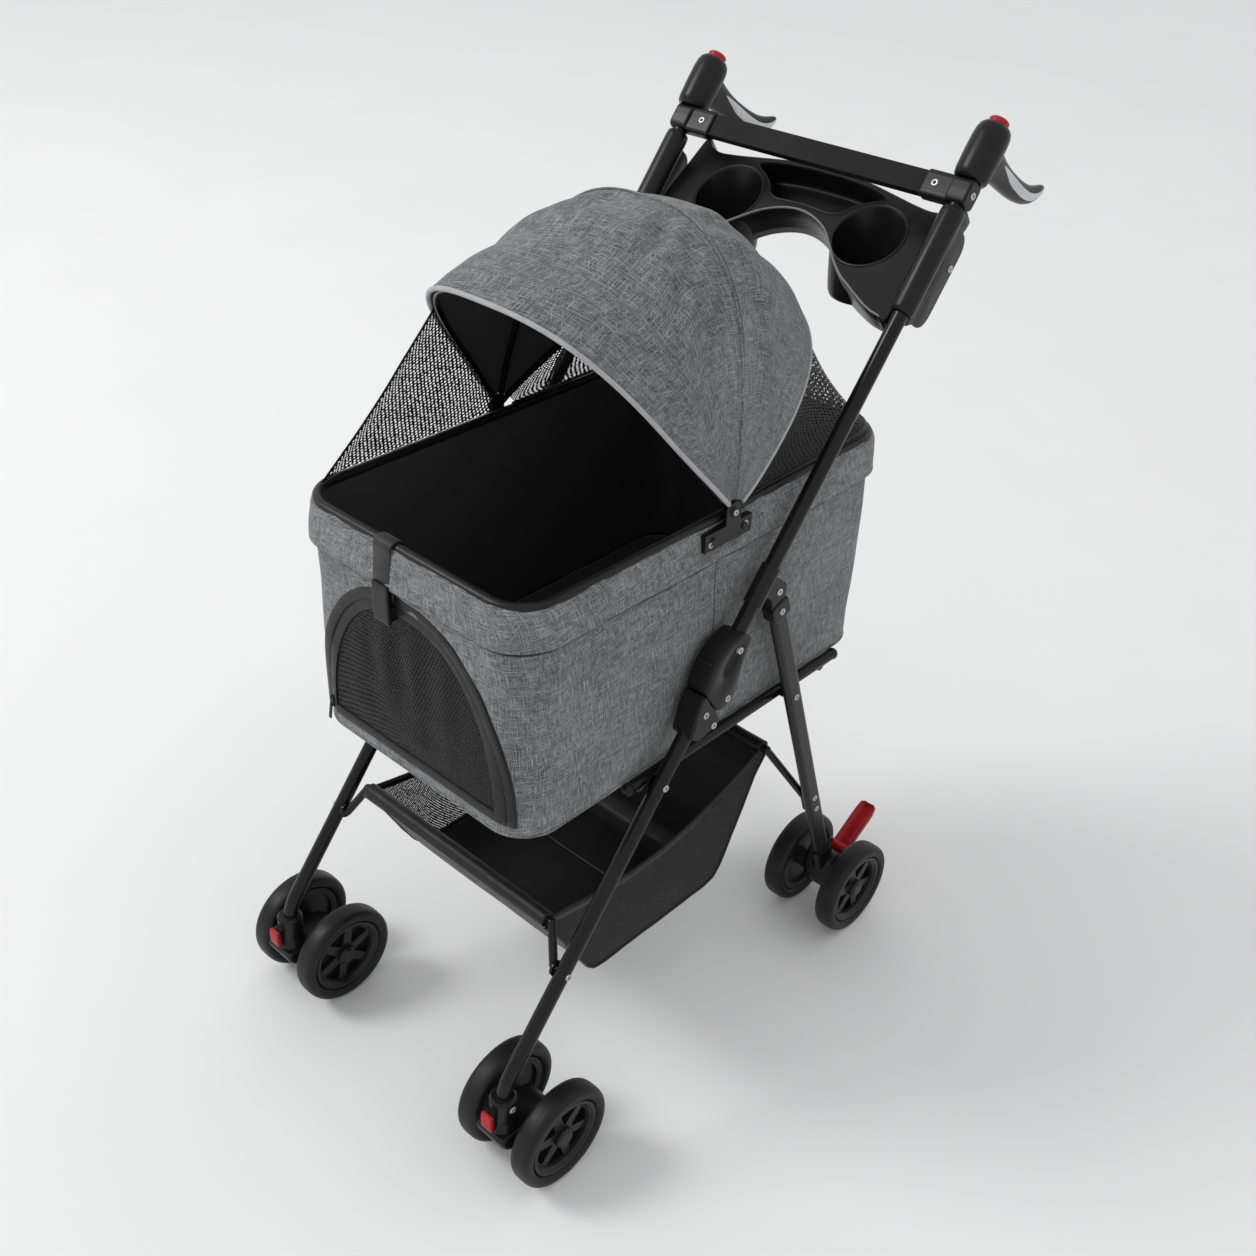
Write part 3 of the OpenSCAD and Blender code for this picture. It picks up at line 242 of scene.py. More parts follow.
def net(name, dark, lite, pitch=0.0046, hole=0.30, turn=pi / 4):
    """Knitted net: round holes in a staggered grid, let through by a Transparent shader."""
    m = Mat(name, Roughness=0.6, Sheen_Weight=0.03, Specular_IOR_Level=0.25)
    v = m.node("ShaderNodeTexVoronoi", feature="F1")
    m.set(v, Vector=m.coord("UV", (1, 1, 1), turn), Scale=1 / pitch, Randomness=0.22)
    d = v.outputs["Distance"]
    m.set(m.b, Base_Color=m.ramp(d, (0.35, dark), (0.75, lite)), Normal=m.bump(d, 0.0004, 0.8))
    t = m.node("ShaderNodeBsdfTransparent")
    mix = m.node("ShaderNodeMixShader")
    fac = m.span(d, 0.0, 1.0, hole - 0.05, hole + 0.05)
    m.link(fac, mix.inputs["Fac"])
    m.link(t.outputs[0], mix.inputs[1])
    m.link(m.b.outputs[0], mix.inputs[2])
    m.link(mix.outputs[0], m.t.nodes["Material Output"].inputs["Surface"])
    return m.m


def grey(low, high, blue=0.0005, blue_high=None):
    """Two greys, each with a little blue added."""
    return (low, low, low + blue), (high, high, high + (blue if blue_high is None else blue_high))


RED = ((0.33, 0.006, 0.010), (0.44, 0.010, 0.016))
KINDS = {
    hard: {
        "steel_black": (*grey(0.004, 0.008), 0.22, 700, 0.00003, 0, 0.0008, 0.26),
        "leg_grey": (*grey(0.013, 0.020, 0.001), 0.34, 600, 0.00004),
        "steel": (*grey(0.42, 0.60, 0.01), 0.34, 500, 0.00003, 0.85, 0.0006),
        "plastic_black": (*grey(0.005, 0.010), 0.32, 1100, 0.00005, 0, 0.0008, 0.26),
        "plastic_red": (*RED, 0.34, 900, 0.00004),
        "grip_black": (*grey(0.006, 0.011, 0.0002, 0.0005), 0.30, 1500, 0.0001, 0, 0.0008, 0.24),
        "wheel": (*grey(0.009, 0.018, 0.001), 0.34, 900, 0.00004, 0, 0.0008, 0.26),
        "rubber": (*grey(0.006, 0.012), 0.44, 1200, 0.00008, 0, 0.0008, 0.26),
        # near-black painted shade: the shadow under the band, the seams' grooves and the rivets' hollows
        "hole_dark": (*grey(0.01, 0.03, 0), 0.5, 900, 0.00002, 0, 0),
        "inlay": (*grey(0.52, 0.64, 0.01), 0.4, 1200, 0.00006, 0, 0),
        "bar_black": (*grey(0.007, 0.012), 0.5, 700, 0.00003, 0, 0.0008, 0.1),
        # lighter grey painted highlight along the tray's front bead
        "edge_worn": (*grey(0.15, 0.24, 0.002, 0.003), 0.3, 900, 0.00003, 0, 0),
    },
    heather: {"heather": ((0.042, 0.043, 0.044), (0.140, 0.142, 0.144), (0.33, 0.332, 0.336))},
    cloth: {
        "piping": (*grey(0.34, 0.55, 0.01), 0.7, 0.0010),
        "satin": (*grey(0.004, 0.012, 0.001), 0.36, 0.0011, 0.00012, 0.04, 0.3),
        "lining": (*grey(0.032, 0.060, 0.002, 0.003), 0.8, 0.0013),
        "nylon": (*grey(0.006, 0.013, 0.001), 0.46, 0.0012, 0.00014, 0.04, 0.28),
        "webbing": (*grey(0.005, 0.02, 0, 0.001), 0.5, 0.0022, 0.0004),
        "mat": (*grey(0.020, 0.05, 0.002, 0.003), 0.9, 0.0020, 0.0004, 0.3),
    },
    net: {
        "net": grey(0.02, 0.006, 0.001, 0),
        "net_door": (*grey(0.008, 0.002, 0.0005, 0), 0.0034, 0.28, 0.5),
        "net_basket": (*grey(0.02, 0.008, 0.001, 0), 0.0026, 0.24),
    },
}
M = {name: make(name, *how) for make, named in KINDS.items() for name, how in named.items()}
print(len(M), "finishes")

# %% [markdown]
# ## Finishes for the rigid parts
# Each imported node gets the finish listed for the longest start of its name, or else black plastic.

# %%
FINISH = {
    "steel_black": ["base_frame", "canopy", "front_leg_tubes", "front_basket", "rear_basket", "handle_tubes"],
    "plastic_black": ["canopy_hinge_plates", "crossbar_brackets"],
    "bar_black": ["crossbar"],
    "leg_grey": ["rear_leg_tubes"],
    "steel": ["frame_rivets", "front_leg_rivets", "rear_leg_rivets", "handle_fasteners", "castor_axle", "rear_axle"],
    "plastic_red": ["button_", "swivel_lock", "brake_pedal"],
    "grip_black": ["grip_"],
    "wheel": ["front_rim", "rear_rims"],
    "rubber": ["front_tyre", "rear_tyres"],
    "satin": ["rim_frame"],
}
for name, o in nodes.items():
    fits = [(len(p), f) for f, starts in FINISH.items() for p in starts if name.startswith(p)]
    o.data.materials.clear()
    o.data.materials.append(M[max(fits, default=(0, "plastic_black"))[1]])

# %% [markdown]
# ## Mesh tools
# Cloth is made as a grid of points and keeps its flat size in its own coordinates; bindings, seams and straps are
# sweeps of a small section along a path.

# %%
def mesh(name, verts, faces, mat, uvs=None, smooth=True):
    me = bpy.data.meshes.new(name)
    me.from_pydata([tuple(v) for v in P(verts)], [], faces)
    me.validate()
    if uvs is not None:
        lay = me.uv_layers.new(name="UVMap")
        for loop, uv in zip(lay.data, (uv for f in uvs for uv in f)):
            loop.uv = uv
    for p in me.polygons:
        p.use_smooth = smooth
    o = bpy.data.objects.new(name, me)
    bpy.context.scene.collection.objects.link(o)
    me.materials.append(M[mat])
    return o


def grid(name, g, mat, close_u=False, close_v=False, drop=None, slot=None):
    """Grid of points g[i][j]; drop(centre) leaves a face out. UVs are lengths along the cloth in metres."""
    g = np.asarray(g, float)
    nu, nv = g.shape[:2]
    gu = np.concatenate([g, g[:1]]) if close_u else g
    gv = np.concatenate([gu, gu[:, :1]], axis=1) if close_v else gu
    du = np.zeros(gv.shape[:2])
    dv = np.zeros(gv.shape[:2])
    du[1:] = np.cumsum(np.linalg.norm(np.diff(gv, axis=0), axis=2), axis=0)
    dv[:, 1:] = np.cumsum(np.linalg.norm(np.diff(gv, axis=1), axis=2), axis=1)
    U = du.mean(axis=1)[:, None] * MM + 0 * du
    V = (dv - dv[:, dv.shape[1] // 2][:, None]) * MM
    faces, uvs = [], []
    for i in range(gv.shape[0] - 1):
        for j in range(gv.shape[1] - 1):
            c = (gv[i, j] + gv[i + 1, j] + gv[i + 1, j + 1] + gv[i, j + 1]) / 4
            if drop is not None and drop(c):
                continue
            k = [(i, j), (i + 1, j), (i + 1, j + 1), (i, j + 1)]
            faces.append([(a % nu) * nv + (b % nv) for a, b in k])
            uvs.append([(V[a, b], U[a, b]) for a, b in k])
    return mesh(name, g.reshape(-1, 3), faces, mat, uvs)


def hoops(name, g, mat, **k):
    """Grid whose rows are closed rings."""
    return grid(name, g, mat, close_v=True, **k)


def sweep(name, path, ups, section, mat, closed=False, slot=None, scale=None):
    """Section points (side, up) carried along path; ups is one direction or one for each point."""
    p = np.asarray(path, float)
    n = len(p)
    ups = np.broadcast_to(np.asarray(ups, float), p.shape)
    t = unit(np.roll(p, -1, 0) - np.roll(p, 1, 0) if closed else np.gradient(p, axis=0))
    u = unit(ups - (ups * t).sum(1)[:, None] * t)
    s = np.cross(t, u)
    sec = np.asarray(section, float)
    k = np.ones(n) if scale is None else np.asarray(scale, float)
    g = p[:, None] + k[:, None, None] * (sec[None, :, :1] * s[:, None] + sec[None, :, 1:2] * u[:, None])
    o = grid(name, g, mat, close_u=closed, close_v=True, slot=slot)
    if not closed:
        me = o.data
        bm = bmesh.new()
        bm.from_mesh(me)
        bm.verts.ensure_lookup_table()
        m = len(sec)
        for ring in (range(m), range((n - 1) * m, n * m)):
            try:
                bm.faces.new([bm.verts[i] for i in ring])
            except ValueError:
                pass
        bmesh.ops.recalc_face_normals(bm, faces=bm.faces)
        bm.to_mesh(me)
        bm.free()
    return o


def strip(half, low, high, top, slope):
    """Section of a tape or strap: flat below, with its two upper edges taken off."""
    return [(-half, low), (half, low), (half, high), (half - slope, top), (slope - half, top), (-half, high)]


def run_length(p):
    return np.concatenate([[0], np.cumsum(np.linalg.norm(np.diff(p, axis=0), axis=1))])


def ring2(r, n=12, e=2.0, ry=None):
    """Round section, or squarer with a larger e, and oval with its own height ry."""
    ry = r if ry is None else ry
    a = turns(n)
    f = lambda v: np.sign(v) * np.abs(v) ** (2 / e)
    return np.stack([r * f(np.cos(a)), ry * f(np.sin(a))], 1)


def area(o):
    return sum(p.area for p in o.data.polygons)


def thick(o, t, offset=-1.0):
    """Gives a sheet its real thickness and makes it a plain mesh again."""
    mod = o.modifiers.new("s", "SOLIDIFY")
    mod.thickness = t * MM
    mod.offset = offset
    mod.use_even_offset = False
    bpy.context.view_layer.update()
    dg = bpy.context.evaluated_depsgraph_get()
    o.data = bpy.data.meshes.new_from_object(o.evaluated_get(dg))
    o.modifiers.clear()
    return o


def join(name, parts):
    bpy.ops.object.select_all(action="DESELECT")
    for p in parts:
        p.select_set(True)
    bpy.context.view_layer.objects.active = parts[0]
    bpy.ops.object.join()
    parts[0].name = name
    return parts[0]


def stitches(name, path, ups):
    """A row of short threads along a seam."""
    pitch, r, length = 4.0, 0.45, 2.6
    p = np.asarray(path, float)
    s = run_length(p)
    ups = np.broadcast_to(np.asarray(ups, float), p.shape)
    verts, faces = [], []
    along = lambda q, a: np.array([np.interp(q, s, a[:, i]) for i in range(3)])
    for q in np.arange(pitch, s[-1] - pitch, pitch):
        a, b, u = along(q, p), along(q + length, p), unit(along(q, ups))
        w = np.cross(unit(b - a), u)
        base = len(verts)
        for c, k in ((a, 0.0), ((a + b) / 2, 1.0), (b, 0.0)):
            for d in (-1, 0, 1):
                verts.append(c + w * d * r + u * (r * 0.9 * k * (1 - abs(d)) + 0.1))
        for i in range(2):
            for j in range(2):
                q0 = base + i * 3 + j
                faces.append([q0, q0 + 3, q0 + 4, q0 + 1])
    return mesh(name, verts, faces, "heather")


# %% [markdown]
# ## Cabin walls
# A padded cloth box with round corners. The outer cloth is a grid round the walls, a little slack, with the door cut
# out of the front; the inner lining is a second sheet, and a wide band overlaps the top edge.

# %%
HX, Y0, Y1, CR = 163.0, -350.0, 210.0, 45.0
MY = (Y0 + Y1) / 2
ZB, ZT = 416.0, 689.0
SX, SY, QUARTER = 2 * (HX - CR), Y1 - Y0 - 2 * CR, pi * CR / 2
LOOP = 2 * SX + 2 * SY + 4 * QUARTER
DOOR_Z, DOOR_H, DOOR_W, DOOR_E = 435.0, 193.0, 138.0, 2.2
PLATE_Y = -76


def around(s):
    """Place and outward direction on the wall line, s from the front middle round by the right side."""
    s = s % LOOP
    legs = (SX / 2, QUARTER, SY, QUARTER, SX, QUARTER, SY, QUARTER, SX / 2)
    k = 0
    while k < 8 and s > legs[k]:
        s -= legs[k]
        k += 1
    if k % 2 == 0:
        return ((s, Y0, 0, -1), (HX, Y0 + CR + s, 1, 0), (SX / 2 - s, Y1, 0, 1), (-HX, Y1 - CR - s, -1, 0),
                (-SX / 2 + s, Y0, 0, -1))[k // 2]
    cx, cy = SX / 2 * (1 if k < 4 else -1), Y1 - CR if k in (3, 5) else Y0 + CR
    t = radians(-90 + 90 * (k // 2)) + s / CR
    return cx + CR * cos(t), cy + CR * sin(t), cos(t), sin(t)


def flatness(s):
    """1 on most of a straight wall, falling to 0 at its corners."""
    x, y, nx, ny = around(s)
    return smooth01(3 * (1 - (abs(y - MY) / SY if abs(nx) > 0.9 else abs(x) / SX) * 2))


def wall(off, z, s, slack=1.0):
    """Point of the wall at height z, off millimetres out, with the cloth's belly and creases."""
    x, y, nx, ny = around(s)
    h = (z - ZB) / (ZT - ZB)
    belly = 3.2 * hump(min(1, max(0, h))) * (0.4 + 0.6 * flatness(s))
    creases = 1.5 * wob(x, y, z, 62, 1) + 0.8 * wob(x, y, z * 0.5, 23, 2)
    free = smooth01((z - 428) / 30) * smooth01((ZT - 4 - z) / 20)
    near_plate = smooth01(1 - abs(y - PLATE_Y) / 60) if abs(nx) > 0.9 and z > 655 else 0
    d = off * (1 - 0.85 * near_plate) + slack * free * (belly + creases) * (1 - near_plate)
    return [x + nx * d, y + ny * d, z]


def door_share(x, z):
    """1 on the door's arch, less inside it."""
    return ((abs(x) / DOOR_W) ** DOOR_E + (max(0, z - DOOR_Z) / DOOR_H) ** DOOR_E) ** (1 / DOOR_E)


def cut_door(g):
    """Moves the points next to the door's edge onto it, so that the cut is clean."""
    g = np.array(g)
    for i in range(g.shape[0]):
        for j in range(g.shape[1]):
            x, y, z = g[i, j]
            if y > Y0 + 30 or z > DOOR_Z + DOOR_H + 12:
                continue
            if z < DOOR_Z + 3 and abs(x) < DOOR_W + 4 and z > DOOR_Z - 4:
                g[i, j, 2] = DOOR_Z
                continue
            k = door_share(x, z)
            if z > DOOR_Z and abs(k - 1) * hypot(x, z - DOOR_Z) < 3.2:
                g[i, j, 0] = x / k
                g[i, j, 2] = DOOR_Z + (z - DOOR_Z) / k
    return g


NS = 340
ss = [LOOP * i / NS for i in range(NS)]
front = lambda c: c[1] < Y0 + 30 and c[2] >= DOOR_Z and door_share(c[0], c[2]) < 1
rows = [(-16, 416.3), (-8, 416.4), (-3, 417.5), (-0.6, 421), (0, 426)]
rows += [(0, 426 + (ZT - 426) * (k + 1) / 54) for k in range(54)]
g = cut_door([[wall(o, z, s) for s in ss] for o, z in rows])
walls = hoops("cabin_cloth", g, "heather", drop=front, slot="cabin_fabric")
thick(walls, 1.0)
g = cut_door([[wall(-5, 419 + (686 - 419) * k / 50, s, 0.0) for s in ss] for k in range(51)])
lining = hoops("cabin_lining", g[:, ::-1], "lining", drop=front, slot="cabin_fabric")
line = [around(s) for s in ss]
pan = [[[p[0] * k, (p[1] - MY) * k + MY, 416.2 + 0.001 * k] for p in line[::2]] for k in (0.02, 0.3, 0.6, 0.85, 0.93)]
floor_cloth = hoops("cabin_floor", pan, "nylon", slot="cabin_fabric")
thick(floor_cloth, 1.2, 1.0)

# the overlapping band, a dark line painted under it as the band's shadow, and its seam
BAND_Z = 646.0


def band_z(s):
    return BAND_Z + 3.5 * wob(*around(s)[:2], 0, 120, 5)


def band(s, k):
    z = band_z(s) + (ZT - band_z(s)) * k
    lift = 3.6 + 3.4 * (1 - k) + 1.2 * wob(*around(s)[:2], z, 30, 9)
    if k > 0.85:
        lift -= 2.5 * (k - 0.85) / 0.15
    return wall(lift, z, s)


g = [[band(s, k) for s in ss] for k in shares(13)]
band_o = hoops("cabin_band", g, "heather", slot="cabin_fabric")
thick(band_o, 1.2)
out = [(nx, ny, 0) for _, _, nx, ny in line]
# a near-black cord just below the band's lower edge is the band's shadow painted on the wall, wider where the band
# puckers
shadow_path = [wall(1.7, band_z(s) - 5.2, s) for s in ss]
shadow_widths = [0.75 + 1.1 * max(0, wob(x, y, 0, 46, 12)) for x, y, _, _ in line]
band_shadow_line = sweep("cabin_band_shadow_line", shadow_path, out, ring2(2.0, 8, ry=0.9), "hole_dark", closed=True, scale=shadow_widths)
band_seam = stitches("cabin_band_seam", [band(s, 0.17) for s in ss], out)
foot = [wall(0.4, 421.5, s) for s in ss]
foot_seam = sweep("cabin_foot_piping", foot, out, ring2(1.6, 8), "heather", closed=True)

# side seams below the canopy hinges: thin dark cords that paint the shade in the seams' grooves
SEAM_Y = -82.0
side_seam_shades = []
for e, n in SIDES:
    path = [(e * wall(0.6, z, SX / 2 + QUARTER + SEAM_Y - Y0 - CR)[0], SEAM_Y, z) for z in np.linspace(424, 652, 60)]
    side_seam_shades.append(sweep("cabin_side_seam_shade_" + n, path, (e, 0, 0), ring2(0.9, 8, ry=0.7), "hole_dark"))

# rim binding with small puckers
def inset_loop(d, n, z):
    return [(x - nx * d, y - ny * d, z) for x, y, nx, ny in (around(LOOP * i / n) for i in range(n))]


rim = inset_loop(2.5, 360, 688.0)
pucker = [1 + 0.04 * wob(x, y, 0, 9, 3) + 0.03 * wob(x, y, 0, 30, 4) for x, y, _ in rim]
binding = sweep("rim_binding", rim, (0, 0, 1), ring2(5.4, 16), "satin", closed=True, slot="cabin_fabric", scale=pucker)
for o in (walls, lining, floor_cloth, band_o, band_shadow_line, band_seam, foot_seam, binding, *side_seam_shades):
    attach(o, "frame")
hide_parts("cabin_shell")
print("cabin", round(area(walls), 3), round(area(lining), 3), round(area(band_o), 3))

# %% [markdown]
# ## Floor mat
# A thin quilted pad: crowned, with a rounded edge, sewn channels across and a piped edge.

# %%
rings = [(1.0, 423.0), (1.0, 428), (0.992, 432.5), (0.975, 435.2)] + [(k, 435.8) for k in np.linspace(0.95, 0.03, 30)]
g = []
for k, z in rings:
    row = []
    for x, y, _ in inset_loop(6.2, 120, z):
        px, py = x * k, MY + (y - MY) * k
        crown = 7.0 * smooth01((1 - k) * 2.2)
        quilt = 2.6 * abs(sin(pi * (py - Y0) / 70)) ** 0.4 if k < 0.96 else 0
        row.append((px, py, z + crown + quilt - 2.0 * (k < 0.96) + 0.8 * wob(px, py, 0, 40, 6)))
    g.append(row)
pad = hoops("floor_pad", g, "mat", slot="mat")
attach(pad, "frame")
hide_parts("floor_mat")
edge = inset_loop(7.0, 160, 434.0)
pipe = sweep("floor_pad_piping", edge, (0, 0, 1), ring2(1.7, 8), "satin", closed=True, slot="mat")
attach(pipe, "frame")

# %% [markdown]
# ## Canopy
# One continuous cloth over three bows. Between the bows it dips a little, and it is drawn into folds towards the
# hinges.

# %%
PY, PZ = -70.0, 695.0
BOWS = ((32.0, 266.0), (81.0, 267.0), (128.0, 270.0))
FA, HINGE_GAP = 173.6, 14.0


def sup(v, e):
    """Signed power that makes an arch squarer with a larger e."""
    return copysign(abs(v) ** (2 / e), v)


def bow_form(phi):
    """Squareness of the arch and how far its sides are drawn in: both grow from the rear bow to the front one."""
    w = (phi - 31) / 97
    return 2.35 + 0.55 * w, 6.0 + 15.0 * w * w


def reach(phi):
    """Height of the arch over the hinge, a parabola through the three bows."""
    (a, ra), (b, rb), (c, rc) = BOWS
    return (ra * (phi - b) * (phi - c) / ((a - b) * (a - c)) + rb * (phi - a) * (phi - c) / ((b - a) * (b - c))
            + rc * (phi - a) * (phi - b) / ((c - a) * (c - b)))


def arch(t, r, a, phi=31.0):
    e, tuck = bow_form(phi)
    q = r * sup(sin(t), e)
    return (a - tuck * (1 - exp(-q * q / 5200))) * sup(cos(t), e), q


def polar(x, q, phi):
    """Point at x, q from the hinges' line and phi degrees above the way back."""
    f = radians(phi)
    return np.array([x, PY + q * cos(f), PZ + q * sin(f)])


# each fold: from angle and place on the arch, to angle and place, width, depth
FOLDS = ((82, 0.45, 106, 0.34, 0.020, 7.0), (82, 0.38, 114, 0.20, 0.026, 6.0), (82, 0.53, 104, 0.57, 0.024, 5.0),
         (82, 0.29, 110, 0.10, 0.022, 4.0), (80, 0.42, 48, 0.36, 0.024, 4.5), (80, 0.27, 46, 0.16, 0.022, 4.0),
         (82, 0.66, 108, 0.80, 0.024, 5.0), (80, 0.64, 50, 0.74, 0.024, 4.0))


def fold(phi, u):
    out = 0.0
    for a, ua, b, ub, wide, deep in FOLDS:
        w = (phi - a) / (b - a)
        if 0 < w < 1:
            v = (u - ua - (ub - ua) * w) / (wide * (0.7 + w))
            out -= deep * hump(w ** 0.7) * (exp(-v * v) - 0.45 * exp(-(abs(v) - 1.9) ** 2))
    return out


def canopy(phi, u, d=0.0):
    """Point of the cloth at angle phi about the hinge and share u of the arch, d millimetres in."""
    r = reach(phi) - d
    t0 = asin((HINGE_GAP / r) ** (bow_form(phi)[0] / 2))
    t = t0 + (pi - 2 * t0) * u
    x, q = arch(t, r, FA - d, phi)
    crown = hump(u)
    dip, deep = 0.0, 0.0
    for (a, _), (b, _), depth in zip(BOWS, BOWS[1:], (6.0, 13.0)):
        if a <= phi <= b:
            dip = hump((phi - a) / (b - a))
            deep = depth * dip ** 0.75 * (0.35 + 0.65 * crown)
    side = abs(x) / FA
    v = 2 * u - 1
    broad = 5.2 * sin(phi * 0.21 + 2.6 * abs(v) + 0.9 * wob(x, q, phi, 120, 3)) * (0.3 + 0.7 * crown) * dip
    ridge = 2.2 * sin(phi * 0.47 - 5.2 * v + 1.6 * wob(x, q, phi, 80, 5)) * crown * dip
    creases = 3.6 * wob(x * 0.6, q * 1.2, phi * 3.0, 52, 7) * dip + 1.1 * wob(x, q, phi * 2.4, 19, 8) * (0.3 + dip)
    s = (broad + ridge) * (1 - 0.45 * side) + creases * (0.4 + 0.6 * side) + fold(phi, u) - deep
    return polar(x * (1 + 0.5 * s / FA), q * (1 + s / r), phi)


phis = np.linspace(30.0, 128.6, 96)
us = shares(132)
g = [[canopy(p, u) for u in us] for p in phis]
hood = grid("canopy_cloth", g, "heather", slot="canopy_cloth")
thick(hood, 1.0)
g = [[canopy(p, u, 2.4) for u in us[::-1]] for p in phis]
hood_in = grid("canopy_lining", g, "lining", slot="canopy_cloth")


def along_arch(phi, d=0.0):
    """Path on the cloth at one angle, and its outward directions."""
    path = np.array([canopy(phi, u, d) for u in shares(130)])
    return path, unit(path - (0, PY, PZ))


def seam_on(name, phi, d, r, n, ry, mat):
    return sweep("canopy_" + name, *along_arch(phi, d), ring2(r, n, ry=ry), mat, slot="canopy_cloth")


pipe_front = seam_on("piping_front", 128.9, 0, 2.6, 10, None, "piping")
pipe_rear = seam_on("piping_rear", 29.6, 0, 2.3, 10, None, "piping")
seam_mid = seam_on("seam_mid", 81, -1.0, 1.9, 8, 1.5, "heather")
# a thin dark cord beside the middle seam paints the shade in its groove
seam_shade_line = seam_on("seam_shade_line", 79.9, -0.5, 1.1, 6, 0.8, "hole_dark")
rows_mid = stitches("canopy_stitches_mid", *along_arch(84.0, -0.3))
rows_front = stitches("canopy_stitches_front", *along_arch(124.8, -0.3))
for o in (hood, hood_in, seam_mid, seam_shade_line, rows_mid, rows_front):
    at(polar(0, 255, 31))
    at(polar(0, 250, 126.5))
    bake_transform(o)
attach(pipe_front, "canopy_front")
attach(pipe_rear, "frame")
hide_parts("canopy_fabric")

# the bows run just under the cloth
for place, body, (phi, r) in zip(("rear", "mid", "front"), ("frame", "canopy_mid", "canopy_front"), BOWS):
    ts = np.linspace(0.0008, pi - 0.0008, 150)
    path = [polar(*arch(t, r - 5.5, FA - 6.5, phi), phi) for t in ts]
    o = sweep("bow_" + place, path, (1, 0, 0), ring2(3.6, 12, 2.6, 2.6), "steel_black", slot="frame_black")
    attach(o, body)
    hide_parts(f"canopy_{place}_bow")
print("canopy", round(area(hood), 3), round(area(hood_in), 3))

# %% [markdown]
# ## Nets
# A net closes the back, from the rear bow down to the rim. Another fills the left side between the front bow and the
# rim; its foot is sewn to the rim and its top runs along the bow.

# %%
def rear_rim(u):
    hx, y1, r, a = HX - 2.5, Y1 - 2.5, CR - 2.5, PY + 14
    l1, l2, l3 = y1 - r - a, r * pi / 2, hx - r
    v, e = (u if u < 0.5 else 1 - u) * 2 * (l1 + l2 + l3), 1 if u < 0.5 else -1
    if v < l1:
        return e * hx, a + v
    if v < l1 + l2:
        t = (v - l1) / l2 * pi / 2
        return e * (hx - r + r * cos(t)), y1 - r + r * sin(t)
    return e * (hx - r - (v - l1 - l2)), y1


R_R = BOWS[0][1] - 3.0
T_R = asin((15 / R_R) ** (2.35 / 2))


def rear_pt(w, u):
    """Point of the rear net, w up from the rim to the bow and u round it, both as shares."""
    a = polar(*arch(T_R + (pi - 2 * T_R) * u, R_R, 169.0), 30.2)
    p = a * w + np.array([*rear_rim(u), 694.0]) * (1 - w)
    sag = 7.0 * hump(w) * hump(u)
    return p - (p[0] * 0.03 * hump(w), sag, sag * 0.7)


g = [[rear_pt(w, u) for u in shares(90)] for w in shares(26)]
net_rear = grid("net_rear", g, "net", slot="mesh")
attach(net_rear, "frame")
hem_r = sweep("net_rear_hem", g[1], (0, 0, 1), ring2(2.6, 8, ry=1.2), "satin", slot="mesh")
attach(hem_r, "frame")

PHI_S = BOWS[2][0] + 1.4
R_S = BOWS[2][1] - 4.0


def bow_pt(q):
    """Point just inside the left side of the front bow, q from the hinge."""
    t = asin((q / R_S) ** (bow_form(PHI_S)[0] / 2))
    return polar(-(arch(t, R_S, 169.5, PHI_S)[0] - 3.0), q, PHI_S)


corner = np.array([-HX + 8, Y0 + CR - 20, 694.5])
by_hinge = np.array([-HX + 3, PY - 16, 694.5])
g = []
for w in shares(40):
    row = []
    a = bow_pt(14 + 196 * w)
    b = by_hinge * (1 - w) + corner * w
    b[0] = -HX + 2.5 + 8.0 * smooth01((w - 0.88) / 0.12)
    for v in shares(40):
        p = a * (1 - v) + b * v
        s = hump(v) * w
        row.append(p + (2.0 * s + 1.5 * s * wob(*p, 45, 2), 3.0 * s, 0))
    g.append(row)
net_side = grid("net_side", g, "net", slot="mesh")
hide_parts("mesh_covers")
hem_s = sweep("net_side_hem", g[-1], (-1, 0, 0), ring2(1.6, 8, ry=0.8), "satin", slot="mesh")
tip = bow_pt(210)
for o in (net_side, hem_s):
    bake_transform(o)
print("nets", round(area(net_rear), 3), round(area(net_side), 3))

# %% [markdown]
# ## Door
# A net panel in a double zip tape. The net has soft upright folds; the zip runs round the arch, and a hem closes the
# foot.

# %%
def front_y(x):
    a = max(0.0, abs(x) - SX / 2)
    return Y0 + CR - sqrt(max(0.0, CR * CR - a * a))


def door_pt(t, d, out=0.0):
    x = (DOOR_W - d) * sup(cos(t), DOOR_E)
    z = DOOR_Z + (DOOR_H - d) * sup(sin(t), DOOR_E)
    return np.array([x, front_y(x) - out, z])


ts = np.linspace(0, pi, 120)
arc = [door_pt(t, 7, 1.6) for t in ts]
ups = [(copysign(max(0, abs(p[0]) - SX / 2) / CR, p[0]), -1.0, 0) for p in arc]
tape_in = sweep("door_tape", arc, ups, strip(6.5, -0.6, 0.5, 0.8, 1.0), "nylon", slot="cabin_fabric")
arc = [door_pt(t, -4.0, 3.0) for t in ts]
tape_out = sweep("cabin_door_tape", arc, ups, strip(6.0, -2.4, 0.5, 1.1, 1.5), "nylon", slot="cabin_fabric")
teeth = [door_pt(t, 0.4, 2.6) + (0, 0.5 * sin(i * 1.9), 0.8 * sin(i * 1.9 + 1.2))
         for i, t in enumerate(np.linspace(0.01, pi - 0.01, 900))]
coil = sweep("door_zip_coil", teeth, (0, -1, 0), ring2(0.75, 6), "plastic_black")
g = []
